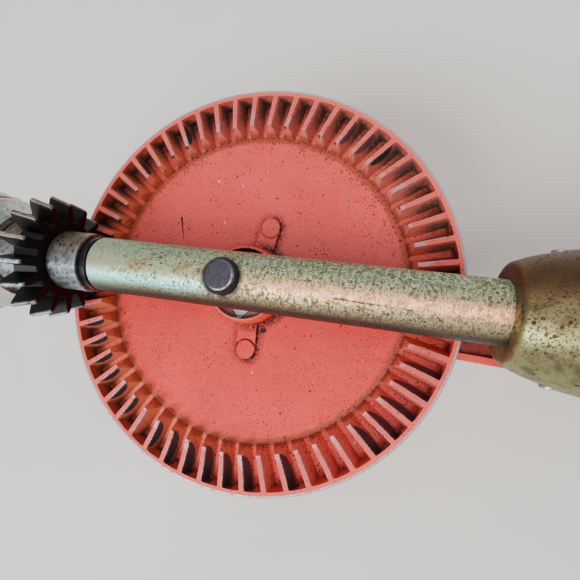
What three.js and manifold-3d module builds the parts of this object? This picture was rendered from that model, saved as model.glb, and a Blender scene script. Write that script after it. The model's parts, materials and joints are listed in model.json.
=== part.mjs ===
// Hand-cranked drill with a tubular frame: a bevel gear on a cross axle turns a
// spindle, which carries a bevel pinion and a three-jaw chuck. A wooden handle closes
// the rear of the tube and a second wooden knob turns on the crank arm.
//
// Frame, in millimetres: the spindle axis is the X axis, the origin is the
// centre of the flat butt of the handle, and the chuck lies towards -X. The gear
// axle is parallel to Z, with the crank below the gear, towards -Z.

import * as THREE from 'three';
import { mergeVertices } from 'three/addons/utils/BufferGeometryUtils.js';
import Module from 'manifold-3d';

const wasm = await Module();
wasm.setup();

// ---------- driving dimensions ----------

const GAP = 0.3; // clearance between pieces that meet
const FINE = 24; // facets round a large turned piece
const COARSE = 20; // facets round a small turned piece

// Drive gear. Heights are measured from the top of the rim, radii from the axle.
const GEAR_TEETH = 56;
const GEAR_RADIUS = 50.8;
const RIM_INNER_RADIUS = 49.3;
const TOOTH_TOP_START = 40.2;
const TOOTH_FOOT_START = 38.9;
const TOOTH_MID_RADIUS = 45;
const TOOTH_TOP_SLOPE = 0.25;
const TOOTH_LAND = 1.2;
const TOOTH_FLANK_SLOPE = 0.27;
const FLOOR_OUTER_DEPTH = 4.5;
const DISC_DEPTH = 2.2;
const WEB_BACK = -5.2;
const RIM_BACK = -7.6;
const HUB_FOOT_RADIUS = 9.9;
const HUB_RADIUS = 9;
const HUB_TOP = 4.5;
const HUB_RECESS_RADIUS = 8.4;
const HUB_RECESS_FLOOR = 1.5;
const HUB_BACK_RADIUS = 13;
const HUB_BACK = -8.3;
const KEY_SIDE = 14;
const KEY_BACK = -13.8;
const BARS = [{ angle: 78.5, reach: 15.5 }, { angle: -86.8, reach: 16.1 }];
const BAR_HALF_WIDTH = 2.6;
const BAR_HEIGHT = 0.5;

// Pinion, in mesh with the gear. Its section is given at the teeth's middle, and
// it grows in step with the distance from the gear axle.
const PINION_TEETH = 16;
const PINION_ROOT_RADIUS = 9.7;
const PINION_PITCH_RADIUS = 12.2;
const PINION_TIP_RADIUS = 14.1;
const PINION_HALF_THICKNESS = { root: 1.1, pitch: 0.77, tip: 0.45 };

// Places along X, measured from the gear axle, the chuck side negative.
const AXLE_TO_BUTT = 160;
const TUBE_FRONT = -32.5;
const TUBE_REAR = 114;
const WASHER_FRONT = -34.5;
const PINION_HUB_REAR = -34.8;
const PINION_TOOTH_REAR = -42.6;
const PINION_TOOTH_FRONT = -48.1;
const PINION_FRONT = -54.4;
const PINION_PIN_X = -38.6;
const CHUCK_REAR = -54.8;
const FERRULE_FRONT = 54.4;
const FERRULE_REAR = 72;
const HANDLE_PIN_X = 63;

// Frame tube, spindle and axle.
const AXIS_ABOVE_RIM = 11.3;
const TUBE_RADIUS = 6.35;
const TUBE_BORE = 5.15;
const SPINDLE_RADIUS = 4;
const BUSHING_BORE = 4.2;
const BUSHING_REAR = -14;
const BALL_RADIUS = 3;
const AXLE_RADIUS = 3.85;
const AXLE_PROUD = 1.7;
const AXLE_HOLE = AXLE_RADIUS + GAP;
const AXLE_NECK_RADIUS = 2.8;
const AXLE_NECK_TOP = -14.45;
const AXLE_END = -18.8;
const CLIP_TOP = -15.9;
const CLIP_THICKNESS = 0.9;
const CLIP_GROOVE_RADIUS = 2.1;

// Crank arm and its knob, the arm drawn along +X and then turned about the axle.
const ARM_ANGLE = THREE.MathUtils.degToRad(-2);
const ARM_TOP = -8.6;
const ARM_THICKNESS = 5.7;
const ARM_HALF_WIDTH = 9.3;
const ARM_STRAIGHT_END = 62;
const ARM_REACH = 88;
const ARM_END_RADIUS = 9;
const ARM_FLANGE = 1.75;
const ARM_POCKET_DEPTH = 1.8;
const STUD_RADIUS = 2.5;
const KNOB_TOP = -15.7;
const KNOB_BOTTOM = -52.6;

// Chuck, placed by distance forward from its rear face.
const CHUCK_LENGTH = 42;
const JAW_ANGLE = THREE.MathUtils.degToRad(16);
const JAW_RADIUS = 2.4;
const JAW_LENGTH = 18;
const JAW_TIP = 43.5;
const JAW_AXIS_AT_NOSE = 1.7;
const JAW_COUNT = 3;
const CHUCK_BODY_RADIUS = 12.3;
const SLEEVE_RADIUS = 15;
const SLEEVE_REAR = 8;
const SLEEVE_FRONT = 35.5;
const SLEEVE_FLUTES = 24;
const NUT_REAR = 24;
const NUT_FRONT = 30;
const NUT_RADIUS = 12.25;

// ---------- materials ----------

const looks = {
  paint: { color: 0xd9604f, roughness: 0.55, metalness: 0.0 },
  plated: { color: 0xa9ad84, roughness: 0.38, metalness: 0.9 },
  steel: { color: 0x8c8e92, roughness: 0.4, metalness: 1.0 },
  dark: { color: 0x34302f, roughness: 0.5, metalness: 0.8 },
  oily: { color: 0x4a4a4d, roughness: 0.35, metalness: 0.95 },
  bronze: { color: 0x9a6f3c, roughness: 0.45, metalness: 0.9 },
  wood: { color: 0x8a4f2a, roughness: 0.5, metalness: 0.0 },
};

// ---------- geometry helpers ----------

function toSolid(geometry) {
  const bare = geometry.clone();
  bare.deleteAttribute('normal');
  bare.deleteAttribute('uv');
  const merged = mergeVertices(bare, 1e-4);
  const corners = merged.index.array;
  const triangles = [];
  for (let i = 0; i < corners.length; i += 3) {
    const [a, b, c] = [corners[i], corners[i + 1], corners[i + 2]];
    if (a !== b && b !== c && c !== a) triangles.push(a, b, c);
  }
  return new wasm.Manifold(new wasm.Mesh({
    numProp: 3,
    vertProperties: new Float32Array(merged.attributes.position.array),
    triVerts: new Uint32Array(triangles),
  }));
}

function toGeometry(solid) {
  const mesh = solid.getMesh();
  const geometry = new THREE.BufferGeometry();
  geometry.setAttribute('position', new THREE.BufferAttribute(mesh.vertProperties, 3));
  geometry.setIndex(new THREE.BufferAttribute(mesh.triVerts, 1));
  geometry.computeVertexNormals();
  return geometry;
}

// A turned solid about X. Each profile point is [x, radius], in order of rising x
// along the outside, so that the faces point out.
function turnedX(profile, segments = FINE) {
  const points = profile.map(([x, radius]) => new THREE.Vector2(radius, x));
  return new THREE.LatheGeometry(points, segments).rotateZ(-Math.PI / 2);
}

// A turned solid about Z. Each profile point is [radius, z], in order of rising z
// along the outside.
function turnedZ(profile, segments = FINE) {
  const points = profile.map(([radius, z]) => new THREE.Vector2(radius, z));
  return new THREE.LatheGeometry(points, segments).rotateX(Math.PI / 2);
}

// A tube-like ring about X or Z, its profile closed on itself.
function ringX(low, high, inner, outer, segments = FINE) {
  return turnedX([[low, inner], [low, outer], [high, outer], [high, inner], [low, inner]], segments);
}

function ringZ(low, high, inner, outer, segments = FINE) {
  return turnedZ([[inner, low], [outer, low], [outer, high], [inner, high], [inner, low]], segments);
}

// A plain rod along one axis, centred on the origin.
function rod(axis, radius, length, segments = COARSE) {
  const geometry = new THREE.CylinderGeometry(radius, radius, length, segments);
  if (axis === 'x') geometry.rotateZ(-Math.PI / 2);
  if (axis === 'z') geometry.rotateX(Math.PI / 2);
  return geometry;
}

function plate(shape, low, high, curveSegments = 12) {
  const geometry = new THREE.ExtrudeGeometry(shape, { depth: high - low, bevelEnabled: false, curveSegments });
  return geometry.translate(0, 0, low);
}

function polygon(points) {
  return new THREE.Shape(points.map(([x, y]) => new THREE.Vector2(x, y)));
}

// ---------- the assembly and its working frames ----------

const drill = new THREE.Group();

// Origin where the spindle axis crosses the gear axle.
const barrel = new THREE.Group();
barrel.position.x = -AXLE_TO_BUTT;
drill.add(barrel);

// Origin at the gear's centre, on the plane of the rim's top.
const gearing = new THREE.Group();
gearing.position.set(-AXLE_TO_BUTT, 0, -AXIS_ABOVE_RIM);
drill.add(gearing);

// The same origin, turned to the crank arm's place.
const crank = new THREE.Group();
crank.rotation.z = ARM_ANGLE;
gearing.add(crank);

function place(parent, name, look, geometry) {
  const mesh = new THREE.Mesh(geometry, new THREE.MeshStandardMaterial(looks[look]));
  mesh.name = name;
  parent.add(mesh);
}

// ---------- frame ----------

function frameTube() {
  const tube = toSolid(ringX(TUBE_FRONT, TUBE_REAR, TUBE_BORE, TUBE_RADIUS));
  const axleHole = toSolid(rod('z', AXLE_HOLE, 4 * TUBE_RADIUS));
  return toGeometry(tube.subtract(axleHole).subtract(handlePinHole()));
}

function frontBushing() {
  return ringX(TUBE_FRONT, BUSHING_REAR, BUSHING_BORE, TUBE_BORE - 0.1);
}

function thrustWasher() {
  return ringX(WASHER_FRONT, TUBE_FRONT - GAP, SPINDLE_RADIUS + 0.4, TUBE_RADIUS);
}

function thrustBall() {
  const x = -(AXLE_RADIUS + GAP + BALL_RADIUS);
  return new THREE.SphereGeometry(BALL_RADIUS, 16, 10).translate(x, 0, 0);
}

function axlePin() {
  const top = AXIS_ABOVE_RIM + TUBE_RADIUS + AXLE_PROUD;
  const grooveTop = CLIP_TOP + 0.1;
  const grooveBottom = CLIP_TOP - CLIP_THICKNESS - 0.1;
  return turnedZ([
    [0, AXLE_END],
    [AXLE_NECK_RADIUS - 0.5, AXLE_END],
    [AXLE_NECK_RADIUS, AXLE_END + 0.5],
    [AXLE_NECK_RADIUS, grooveBottom],
    [CLIP_GROOVE_RADIUS, grooveBottom],
    [CLIP_GROOVE_RADIUS, grooveTop],
    [AXLE_NECK_RADIUS, grooveTop],
    [AXLE_NECK_RADIUS, AXLE_NECK_TOP],
    [AXLE_RADIUS, AXLE_NECK_TOP],
    [AXLE_RADIUS, top - 0.6],
    [AXLE_RADIUS - 0.6, top],
    [0, top],
  ]);
}

function axleSpacer() {
  return ringZ(HUB_RECESS_FLOOR + GAP, AXIS_ABOVE_RIM - TUBE_RADIUS - GAP, AXLE_HOLE, 5.8);
}

function axleWasher() {
  const top = ARM_TOP - ARM_THICKNESS - GAP;
  return ringZ(CLIP_TOP + 0.3, top, AXLE_NECK_RADIUS + GAP, 10);
}

// A snap ring with a mouth, so that it springs onto the groove.
function axleClip() {
  const mouth = THREE.MathUtils.degToRad(28);
  const shape = new THREE.Shape();
  shape.absarc(0, 0, 5.6, mouth, 2 * Math.PI - mouth, false);
  shape.absarc(0, 0, CLIP_GROOVE_RADIUS + GAP, 2 * Math.PI - mouth, mouth, true);
  shape.closePath();
  return plate(shape, CLIP_TOP - CLIP_THICKNESS, CLIP_TOP);
}

// ---------- handle ----------

// The tapered wall of the ferrule, as [x, outer radius, inner radius].
const FERRULE_WALL = [
  [FERRULE_FRONT + 1.6, 10.3, 8.9],
  [58.5, 11.3, 10.1],
  [64, 12.8, 11.6],
  [FERRULE_REAR, 13.9, 12.7],
];

function handleFerrule() {
  const outside = FERRULE_WALL.map(([x, outer]) => [x, outer]);
  const inside = FERRULE_WALL.map(([x, , inner]) => [x, inner]).reverse();
  const neck = TUBE_RADIUS + GAP;
  const shell = toSolid(turnedX([
    [FERRULE_FRONT, neck],
    [FERRULE_FRONT, 9.1],
    [FERRULE_FRONT + 0.5, 9.6],
    ...outside,
    ...inside,
    [FERRULE_FRONT + 1.6, neck],
    [FERRULE_FRONT, neck],
  ]));
  return toGeometry(shell.subtract(handlePinHole()));
}

function handlePinHole() {
  return toSolid(rod('y', 1.8, 40, 12).translate(HANDLE_PIN_X, 0, 0));
}

function handleGrip() {
  const tenon = FERRULE_WALL.map(([x, , inner]) => [x, inner - GAP]);
  tenon[0][0] += GAP;
  tenon[3][0] += GAP;
  const bore = TUBE_RADIUS + GAP;
  const grip = toSolid(turnedX([
    [TUBE_REAR + 1, 0],
    [TUBE_REAR + 1, bore],
    [FERRULE_FRONT + 1.6 + GAP, bore],
    ...tenon,
    [FERRULE_REAR + GAP, 14.2],
    [80, 15.3],
    [100, 16.7],
    [120, 17],
    [136, 16.3],
    [148, 14.6],
    [155, 12.4],
    [159, 9.6],
    [AXLE_TO_BUTT, 8],
    [AXLE_TO_BUTT, 0],
  ]));
  return toGeometry(grip.subtract(handlePinHole()));
}

function handlePin() {
  return rod('y', 1.5, 25.6, 12).translate(HANDLE_PIN_X, 0, 0);
}

// ---------- drive gear ----------

function gearBlank() {
  const key = KEY_SIDE / 2;
  const bore = 5.1;
  const blank = toSolid(turnedZ([
    [bore, HUB_BACK],
    [HUB_BACK_RADIUS, HUB_BACK],
    [HUB_BACK_RADIUS, WEB_BACK],
    [36, WEB_BACK],
    [39.5, RIM_BACK],
    [GEAR_RADIUS - 0.5, RIM_BACK],
    [GEAR_RADIUS, RIM_BACK + 0.5],
    [GEAR_RADIUS, -0.3],
    [GEAR_RADIUS - 0.3, 0],
    [RIM_INNER_RADIUS, 0],
    [RIM_INNER_RADIUS, -FLOOR_OUTER_DEPTH],
    [TOOTH_FOOT_START, -DISC_DEPTH],
    [HUB_FOOT_RADIUS, -DISC_DEPTH],
    [HUB_RADIUS, HUB_TOP],
    [HUB_RECESS_RADIUS, HUB_TOP],
    [HUB_RECESS_RADIUS, HUB_RECESS_FLOOR],
    [bore, HUB_RECESS_FLOOR],
    [bore, HUB_BACK],
  ], GEAR_TEETH));
  const square = polygon([[-key, -key], [key, -key], [key, key], [-key, key]]);
  square.holes.push(new THREE.Path().absarc(0, 0, bore, 0, 2 * Math.PI, true));
  return blank.add(toSolid(plate(square, KEY_BACK, HUB_BACK + 1).rotateZ(ARM_ANGLE)));
}

function toothTop(radius) {
  return (RIM_INNER_RADIUS - radius) * TOOTH_TOP_SLOPE;
}

// One straight tooth on +X: its section widens downwards, its width grows in step
// with the radius, and its top rises from the rim inwards.
function gearTooth() {
  const depth = FLOOR_OUTER_DEPTH + 0.6;
  const land = TOOTH_LAND / 2;
  const foot = land + depth * TOOTH_FLANK_SLOPE;
  const section = polygon([[-foot, -depth], [foot, -depth], [land, 0], [-land, 0]]);
  const start = TOOTH_FOOT_START - 1;
  const tooth = plate(section, start, RIM_INNER_RADIUS + 0.5);
  const toRadial = new THREE.Matrix4().makeBasis(
    new THREE.Vector3(0, 1, 0),
    new THREE.Vector3(0, 0, 1),
    new THREE.Vector3(1, 0, 0),
  );
  tooth.applyMatrix4(toRadial);
  const position = tooth.attributes.position;
  for (let i = 0; i < position.count; i += 1) {
    const radius = position.getX(i);
    position.setY(i, position.getY(i) * radius / TOOTH_MID_RADIUS);
    position.setZ(i, position.getZ(i) + toothTop(radius));
  }
  return tooth;
}

function toothEnvelope() {
  return toSolid(turnedZ([
    [TOOTH_FOOT_START, -FLOOR_OUTER_DEPTH],
    [RIM_INNER_RADIUS + 0.3, -FLOOR_OUTER_DEPTH],
    [RIM_INNER_RADIUS + 0.3, 0],
    [RIM_INNER_RADIUS, 0],
    [TOOTH_TOP_START, toothTop(TOOTH_TOP_START)],
    [TOOTH_FOOT_START, -DISC_DEPTH],
    [TOOTH_FOOT_START, -FLOOR_OUTER_DEPTH],
  ], GEAR_TEETH));
}

// A low bar on the disc, from the hub out to a round end.
function discBar({ angle, reach }) {
  const shape = new THREE.Shape();
  shape.moveTo(HUB_RADIUS - 1, -BAR_HALF_WIDTH);
  shape.lineTo(reach, -BAR_HALF_WIDTH);
  shape.absarc(reach, 0, BAR_HALF_WIDTH, -Math.PI / 2, Math.PI / 2, false);
  shape.lineTo(HUB_RADIUS - 1, BAR_HALF_WIDTH);
  shape.closePath();
  const bar = plate(shape, -DISC_DEPTH - 0.5, -DISC_DEPTH + BAR_HEIGHT, 8);
  return toSolid(bar.rotateZ(THREE.MathUtils.degToRad(angle)));
}

function driveGear() {
  // A tooth, not a tooth space, faces the pinion on -X.
  const step = 2 * Math.PI / GEAR_TEETH;
  const teeth = [];
  for (let i = 0; i < GEAR_TEETH; i += 1) {
    teeth.push(toSolid(gearTooth().rotateZ(i * step)));
  }
  let gear = gearBlank().add(wasm.Manifold.union(teeth).intersect(toothEnvelope()));
  for (const bar of BARS) gear = gear.add(discBar(bar));
  return toGeometry(gear);
}

function hubBushing() {
  return ringZ(KEY_BACK + 0.2, HUB_RECESS_FLOOR - 0.2, AXLE_HOLE, 5);
}

// ---------- crank ----------

function armOutline() {
  const taper = Math.atan2(ARM_HALF_WIDTH - ARM_END_RADIUS, ARM_REACH - ARM_STRAIGHT_END);
  const shape = new THREE.Shape();
  shape.moveTo(0, -ARM_HALF_WIDTH);
  shape.lineTo(ARM_STRAIGHT_END, -ARM_HALF_WIDTH);
  shape.absarc(ARM_REACH, 0, ARM_END_RADIUS, taper - Math.PI / 2, Math.PI / 2 - taper, false);
  shape.lineTo(ARM_STRAIGHT_END, ARM_HALF_WIDTH);
  shape.lineTo(0, ARM_HALF_WIDTH);
  shape.closePath();
  return shape;
}

// The sunk panel between the arm's two flanges.
function armPocket() {
  const wide = ARM_HALF_WIDTH - ARM_FLANGE;
  const narrow = ARM_END_RADIUS - ARM_FLANGE;
  const end = ARM_REACH - ARM_END_RADIUS - 2;
  return polygon([
    [HUB_BACK_RADIUS + 2, -wide],
    [ARM_STRAIGHT_END, -wide],
    [end, -narrow],
    [end, narrow],
    [ARM_STRAIGHT_END, wide],
    [HUB_BACK_RADIUS + 2, wide],
  ]);
}

function crankArm() {
  const bottom = ARM_TOP - ARM_THICKNESS;
  const key = KEY_SIDE / 2 + GAP;
  const hub = rod('z', HUB_BACK_RADIUS, ARM_THICKNESS, FINE).translate(0, 0, ARM_TOP - ARM_THICKNESS / 2);
  const square = polygon([[-key, -key], [key, -key], [key, key], [-key, key]]);
  const studHole = rod('z', STUD_RADIUS + GAP, 30).translate(ARM_REACH, 0, ARM_TOP);
  const arm = toSolid(plate(armOutline(), bottom, ARM_TOP))
    .add(toSolid(hub))
    .subtract(toSolid(plate(armPocket(), ARM_TOP - ARM_POCKET_DEPTH, ARM_TOP + 1)))
    .subtract(toSolid(plate(armPocket(), bottom - 1, bottom + ARM_POCKET_DEPTH)))
    .subtract(toSolid(plate(square, bottom - 1, ARM_TOP + 1)))
    .subtract(toSolid(studHole));
  return toGeometry(arm);
}

function knobStud() {
  const top = ARM_TOP + GAP;
  const headTop = KNOB_BOTTOM + 1.8;
  return turnedZ([
    [0, KNOB_BOTTOM + 0.3],
    [4.2, KNOB_BOTTOM + 0.3],
    [4.5, KNOB_BOTTOM + 0.6],
    [4.5, headTop],
    [STUD_RADIUS, headTop],
    [STUD_RADIUS, top],
    [4, top],
    [3.4, top + 0.8],
    [0, top + 0.9],
  ], COARSE).translate(ARM_REACH, 0, 0);
}

function knobWasher() {
  const arm = ARM_TOP - ARM_THICKNESS;
  return ringZ(KNOB_TOP + GAP, arm - GAP, STUD_RADIUS + GAP, 6.5, COARSE).translate(ARM_REACH, 0, 0);
}

function crankKnob() {
  const bore = STUD_RADIUS + GAP;
  const recess = 5;
  const recessTop = KNOB_BOTTOM + 2.1;
  return turnedZ([
    [bore, recessTop],
    [recess, recessTop],
    [recess, KNOB_BOTTOM],
    [8.4, KNOB_BOTTOM],
    [10.3, KNOB_BOTTOM + 1.6],
    [11.4, KNOB_BOTTOM + 5],
    [11.7, KNOB_BOTTOM + 10],
    [11, KNOB_BOTTOM + 17],
    [9.5, KNOB_BOTTOM + 25],
    [8.3, KNOB_TOP - 6],
    [8.2, KNOB_TOP - 2.5],
    [8.8, KNOB_TOP - 0.8],
    [8.5, KNOB_TOP],
    [bore, KNOB_TOP],
    [bore, recessTop],
  ], 28).translate(ARM_REACH, 0, 0);
}

// ---------- spindle and pinion ----------

function spindle() {
  const rear = -(AXLE_RADIUS + 2 * BALL_RADIUS + 2 * GAP);
  const front = CHUCK_REAR - 11.5;
  const shaft = toSolid(turnedX([
    [front, 0],
    [front, SPINDLE_RADIUS - 0.5],
    [front + 0.5, SPINDLE_RADIUS],
    [rear - 0.5, SPINDLE_RADIUS],
    [rear, SPINDLE_RADIUS - 0.5],
    [rear, 0],
  ]));
  const pinHole = toSolid(rod('y', 1.5, 40, 12).translate(PINION_PIN_X, 0, 0));
  return toGeometry(shaft.subtract(pinHole));
}

// The toothed outline, with a tooth space straight down, facing the gear.
function pinionOutline() {
  const half = PINION_HALF_THICKNESS;
  const corners = [
    [PINION_ROOT_RADIUS, -half.root],
    [PINION_PITCH_RADIUS, -half.pitch],
    [PINION_TIP_RADIUS, -half.tip],
    [PINION_TIP_RADIUS, half.tip],
    [PINION_PITCH_RADIUS, half.pitch],
    [PINION_ROOT_RADIUS, half.root],
  ];
  const points = [];
  for (let i = 0; i < PINION_TEETH; i += 1) {
    const turn = (i + 0.5) * 2 * Math.PI / PINION_TEETH;
    for (const [radius, offset] of corners) {
      const angle = turn + Math.asin(offset / radius);
      points.push([radius * Math.cos(angle), radius * Math.sin(angle)]);
    }
  }
  return polygon(points);
}

function pinion() {
  const teeth = plate(pinionOutline(), PINION_TOOTH_FRONT, PINION_TOOTH_REAR).rotateY(Math.PI / 2);
  const position = teeth.attributes.position;
  for (let i = 0; i < position.count; i += 1) {
    const growth = -position.getX(i) / TOOTH_MID_RADIUS;
    position.setY(i, position.getY(i) * growth);
    position.setZ(i, position.getZ(i) * growth);
  }
  const hub = turnedX([
    [PINION_FRONT, 0],
    [PINION_FRONT, 8.4],
    [PINION_FRONT + 0.6, 9],
    [PINION_TOOTH_FRONT + 1, 9],
    [PINION_TOOTH_REAR - 1, 7],
    [PINION_HUB_REAR - 0.4, 7],
    [PINION_HUB_REAR, 6.6],
    [PINION_HUB_REAR, 0],
  ]);
  const pinHole = rod('y', 1.5, 40, 12).translate(PINION_PIN_X, 0, 0);
  const bore = rod('x', SPINDLE_RADIUS + 0.1, 60, FINE).translate(PINION_PIN_X, 0, 0);
  return toGeometry(toSolid(teeth)
    .add(toSolid(hub))
    .subtract(toSolid(bore))
    .subtract(toSolid(pinHole)));
}

function pinionPin() {
  return rod('y', 1.2, 13.6, 12).translate(PINION_PIN_X, 0, 0);
}

// ---------- chuck, drawn with its rear face at x = 0 and its nose towards -X ----------

const chuck = new THREE.Group();
chuck.position.x = CHUCK_REAR;
barrel.add(chuck);

const jawSlope = Math.tan(JAW_ANGLE);

function jawAxisRadius(forward) {
  return JAW_AXIS_AT_NOSE + (CHUCK_LENGTH - forward) * jawSlope;
}

// A rod on the first jaw's axis, from one station to another, that jaw being up.
function jawRod(radius, rear, front, segments = COARSE) {
  const length = (front - rear) / Math.cos(JAW_ANGLE);
  const middle = (front + rear) / 2;
  const geometry = rod('x', radius, length, segments);
  return geometry.rotateY(-JAW_ANGLE).translate(-middle, 0, jawAxisRadius(middle));
}

function chuckBody() {
  let body = toSolid(turnedX([
    [-CHUCK_LENGTH, 0],
    [-CHUCK_LENGTH, 6.6],
    [-CHUCK_LENGTH + 0.8, 7.4],
    [-SLEEVE_FRONT - 0.2, CHUCK_BODY_RADIUS - 0.3],
    [-SLEEVE_FRONT + 0.4, CHUCK_BODY_RADIUS],
    [-NUT_FRONT - GAP, CHUCK_BODY_RADIUS],
    [-NUT_FRONT - GAP, 7.3],
    [-NUT_REAR + GAP, 7.3],
    [-NUT_REAR + GAP, CHUCK_BODY_RADIUS],
    [-SLEEVE_REAR + 0.5, CHUCK_BODY_RADIUS],
    [-SLEEVE_REAR + 0.5, 13.6],
    [-SLEEVE_REAR + 3.6, 13.6],
    [-2.2, 11],
    [0, 10.4],
    [0, 0],
  ]));
  body = body.subtract(toSolid(rod('x', 3.4, 30, COARSE).translate(-35, 0, 0)));
  body = body.subtract(toSolid(rod('x', SPINDLE_RADIUS + 0.1, 24, FINE)));
  for (let i = 0; i < JAW_COUNT; i += 1) {
    const hole = jawRod(JAW_RADIUS + GAP, 14, CHUCK_LENGTH + 6);
    body = body.subtract(toSolid(hole.rotateX(i * 2 * Math.PI / JAW_COUNT)));
  }
  return toGeometry(body);
}

// The outer sleeve, fluted for the fingers, with a coned front edge.
function chuckSleeve() {
  const points = [];
  for (let i = 0; i < 2 * SLEEVE_FLUTES; i += 1) {
    const radius = i % 2 === 0 ? SLEEVE_RADIUS : SLEEVE_RADIUS - 0.6;
    const angle = i * Math.PI / SLEEVE_FLUTES;
    points.push([radius * Math.cos(angle), radius * Math.sin(angle)]);
  }
  const fluted = plate(polygon(points), 0, SLEEVE_FRONT - SLEEVE_REAR)
    .rotateY(-Math.PI / 2)
    .translate(-SLEEVE_REAR, 0, 0);
  const envelope = turnedX([
    [-SLEEVE_FRONT, 0],
    [-SLEEVE_FRONT, 13.2],
    [-SLEEVE_FRONT + 5, SLEEVE_RADIUS + 0.2],
    [-SLEEVE_REAR - 1, SLEEVE_RADIUS + 0.2],
    [-SLEEVE_REAR, 14.2],
    [-SLEEVE_REAR, 0],
  ]);
  const bore = rod('x', CHUCK_BODY_RADIUS + GAP, 80, 40);
  return toGeometry(toSolid(fluted).intersect(toSolid(envelope)).subtract(toSolid(bore)));
}

// One half of the split nut inside the sleeve: its coned bore drives the jaws.
function nutHalf(side) {
  const clear = JAW_RADIUS / Math.cos(JAW_ANGLE) + GAP;
  const ring = turnedX([
    [-NUT_FRONT, jawAxisRadius(NUT_FRONT) + clear],
    [-NUT_FRONT, NUT_RADIUS],
    [-NUT_REAR, NUT_RADIUS],
    [-NUT_REAR, jawAxisRadius(NUT_REAR) + clear],
    [-NUT_FRONT, jawAxisRadius(NUT_FRONT) + clear],
  ]);
  const half = new THREE.BoxGeometry(60, 40, 40).translate(0, side * (20 + GAP / 2), 0);
  return toGeometry(toSolid(ring).intersect(toSolid(half)));
}

// One jaw, with a 120 degree nose so that three of them close on each other.
function chuckJaw(index) {
  const rear = JAW_TIP - JAW_LENGTH * Math.cos(JAW_ANGLE);
  const apex = GAP / 2;
  const reach = 20;
  const side = reach * Math.tan(Math.PI / JAW_COUNT);
  const wedge = polygon([[0, apex], [side, reach + apex], [-side, reach + apex]]);
  const nose = plate(wedge, 0, JAW_TIP)
    .applyMatrix4(new THREE.Matrix4().makeBasis(
      new THREE.Vector3(0, 1, 0),
      new THREE.Vector3(0, 0, 1),
      new THREE.Vector3(1, 0, 0),
    ))
    .translate(-JAW_TIP, 0, 0);
  const jaw = toSolid(jawRod(JAW_RADIUS, rear, JAW_TIP + 6)).intersect(toSolid(nose));
  return toGeometry(jaw).rotateX(index * 2 * Math.PI / JAW_COUNT);
}

// ---------- assembly ----------

place(barrel, 'frame_tube', 'plated', frameTube());
place(barrel, 'front_bushing', 'bronze', frontBushing());
place(barrel, 'thrust_washer', 'dark', thrustWasher());
place(barrel, 'thrust_ball', 'steel', thrustBall());
place(barrel, 'handle_ferrule', 'plated', handleFerrule());
place(barrel, 'handle_grip', 'wood', handleGrip());
place(barrel, 'handle_pin', 'steel', handlePin());
place(gearing, 'axle_pin', 'dark', axlePin());
place(gearing, 'axle_spacer', 'dark', axleSpacer());
place(gearing, 'axle_washer', 'steel', axleWasher());
place(gearing, 'axle_clip', 'dark', axleClip());
place(gearing, 'drive_gear', 'paint', driveGear());
place(gearing, 'hub_bushing', 'bronze', hubBushing());
place(crank, 'crank_arm', 'paint', crankArm());
place(crank, 'knob_stud', 'steel', knobStud());
place(crank, 'knob_washer', 'steel', knobWasher());
place(crank, 'crank_knob', 'wood', crankKnob());
place(barrel, 'spindle', 'steel', spindle());
place(barrel, 'pinion', 'oily', pinion());
place(barrel, 'pinion_pin', 'steel', pinionPin());
place(chuck, 'chuck_body', 'steel', chuckBody());
place(chuck, 'chuck_sleeve', 'steel', chuckSleeve());
place(chuck, 'chuck_nut_left', 'steel', nutHalf(1));
place(chuck, 'chuck_nut_right', 'steel', nutHalf(-1));
for (let i = 0; i < JAW_COUNT; i += 1) {
  place(chuck, `chuck_jaw_${i + 1}`, 'dark', chuckJaw(i));
}

export default drill;
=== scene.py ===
# Looks of a hand-cranked drill: a painted bevel gear under a plated frame tube,
# a steel pinion, a wooden handle and knob, and a three-jaw chuck.
# Lengths are millimetres, measured from a named origin, until a mesh is made.

import json
import math

import bmesh
import bpy
from mathutils import Matrix, Vector, noise


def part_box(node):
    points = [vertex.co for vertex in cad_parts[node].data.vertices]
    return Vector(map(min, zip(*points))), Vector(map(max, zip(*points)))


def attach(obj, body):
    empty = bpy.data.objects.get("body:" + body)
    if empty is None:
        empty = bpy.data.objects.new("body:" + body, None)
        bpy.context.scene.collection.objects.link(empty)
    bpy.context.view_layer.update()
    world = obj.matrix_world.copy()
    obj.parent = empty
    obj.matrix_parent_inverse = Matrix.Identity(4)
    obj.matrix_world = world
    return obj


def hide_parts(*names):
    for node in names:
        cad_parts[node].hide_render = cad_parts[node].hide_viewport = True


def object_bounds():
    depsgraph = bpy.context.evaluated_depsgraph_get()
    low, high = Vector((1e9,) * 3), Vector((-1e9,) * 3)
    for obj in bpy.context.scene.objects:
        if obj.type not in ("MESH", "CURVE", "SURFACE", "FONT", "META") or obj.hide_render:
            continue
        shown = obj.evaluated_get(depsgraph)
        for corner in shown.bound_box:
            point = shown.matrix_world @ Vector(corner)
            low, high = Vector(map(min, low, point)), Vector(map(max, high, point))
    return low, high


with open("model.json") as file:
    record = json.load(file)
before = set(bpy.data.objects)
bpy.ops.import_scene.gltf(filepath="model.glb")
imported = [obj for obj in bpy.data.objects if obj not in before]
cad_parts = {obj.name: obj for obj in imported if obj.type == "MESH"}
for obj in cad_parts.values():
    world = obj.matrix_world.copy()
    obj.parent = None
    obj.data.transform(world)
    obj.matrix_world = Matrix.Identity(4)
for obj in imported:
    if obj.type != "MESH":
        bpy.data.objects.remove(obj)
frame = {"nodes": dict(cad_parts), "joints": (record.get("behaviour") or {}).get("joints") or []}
cad_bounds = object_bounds()

MM = 0.001
JOINTS = {joint["name"]: joint for joint in frame["joints"]}


def reach(node, axis, origin):
    """How far a CAD node reaches below and above an origin along one axis, in mm."""
    low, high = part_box(node)
    return (low[axis] - origin[axis]) / MM, (high[axis] - origin[axis]) / MM


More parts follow.
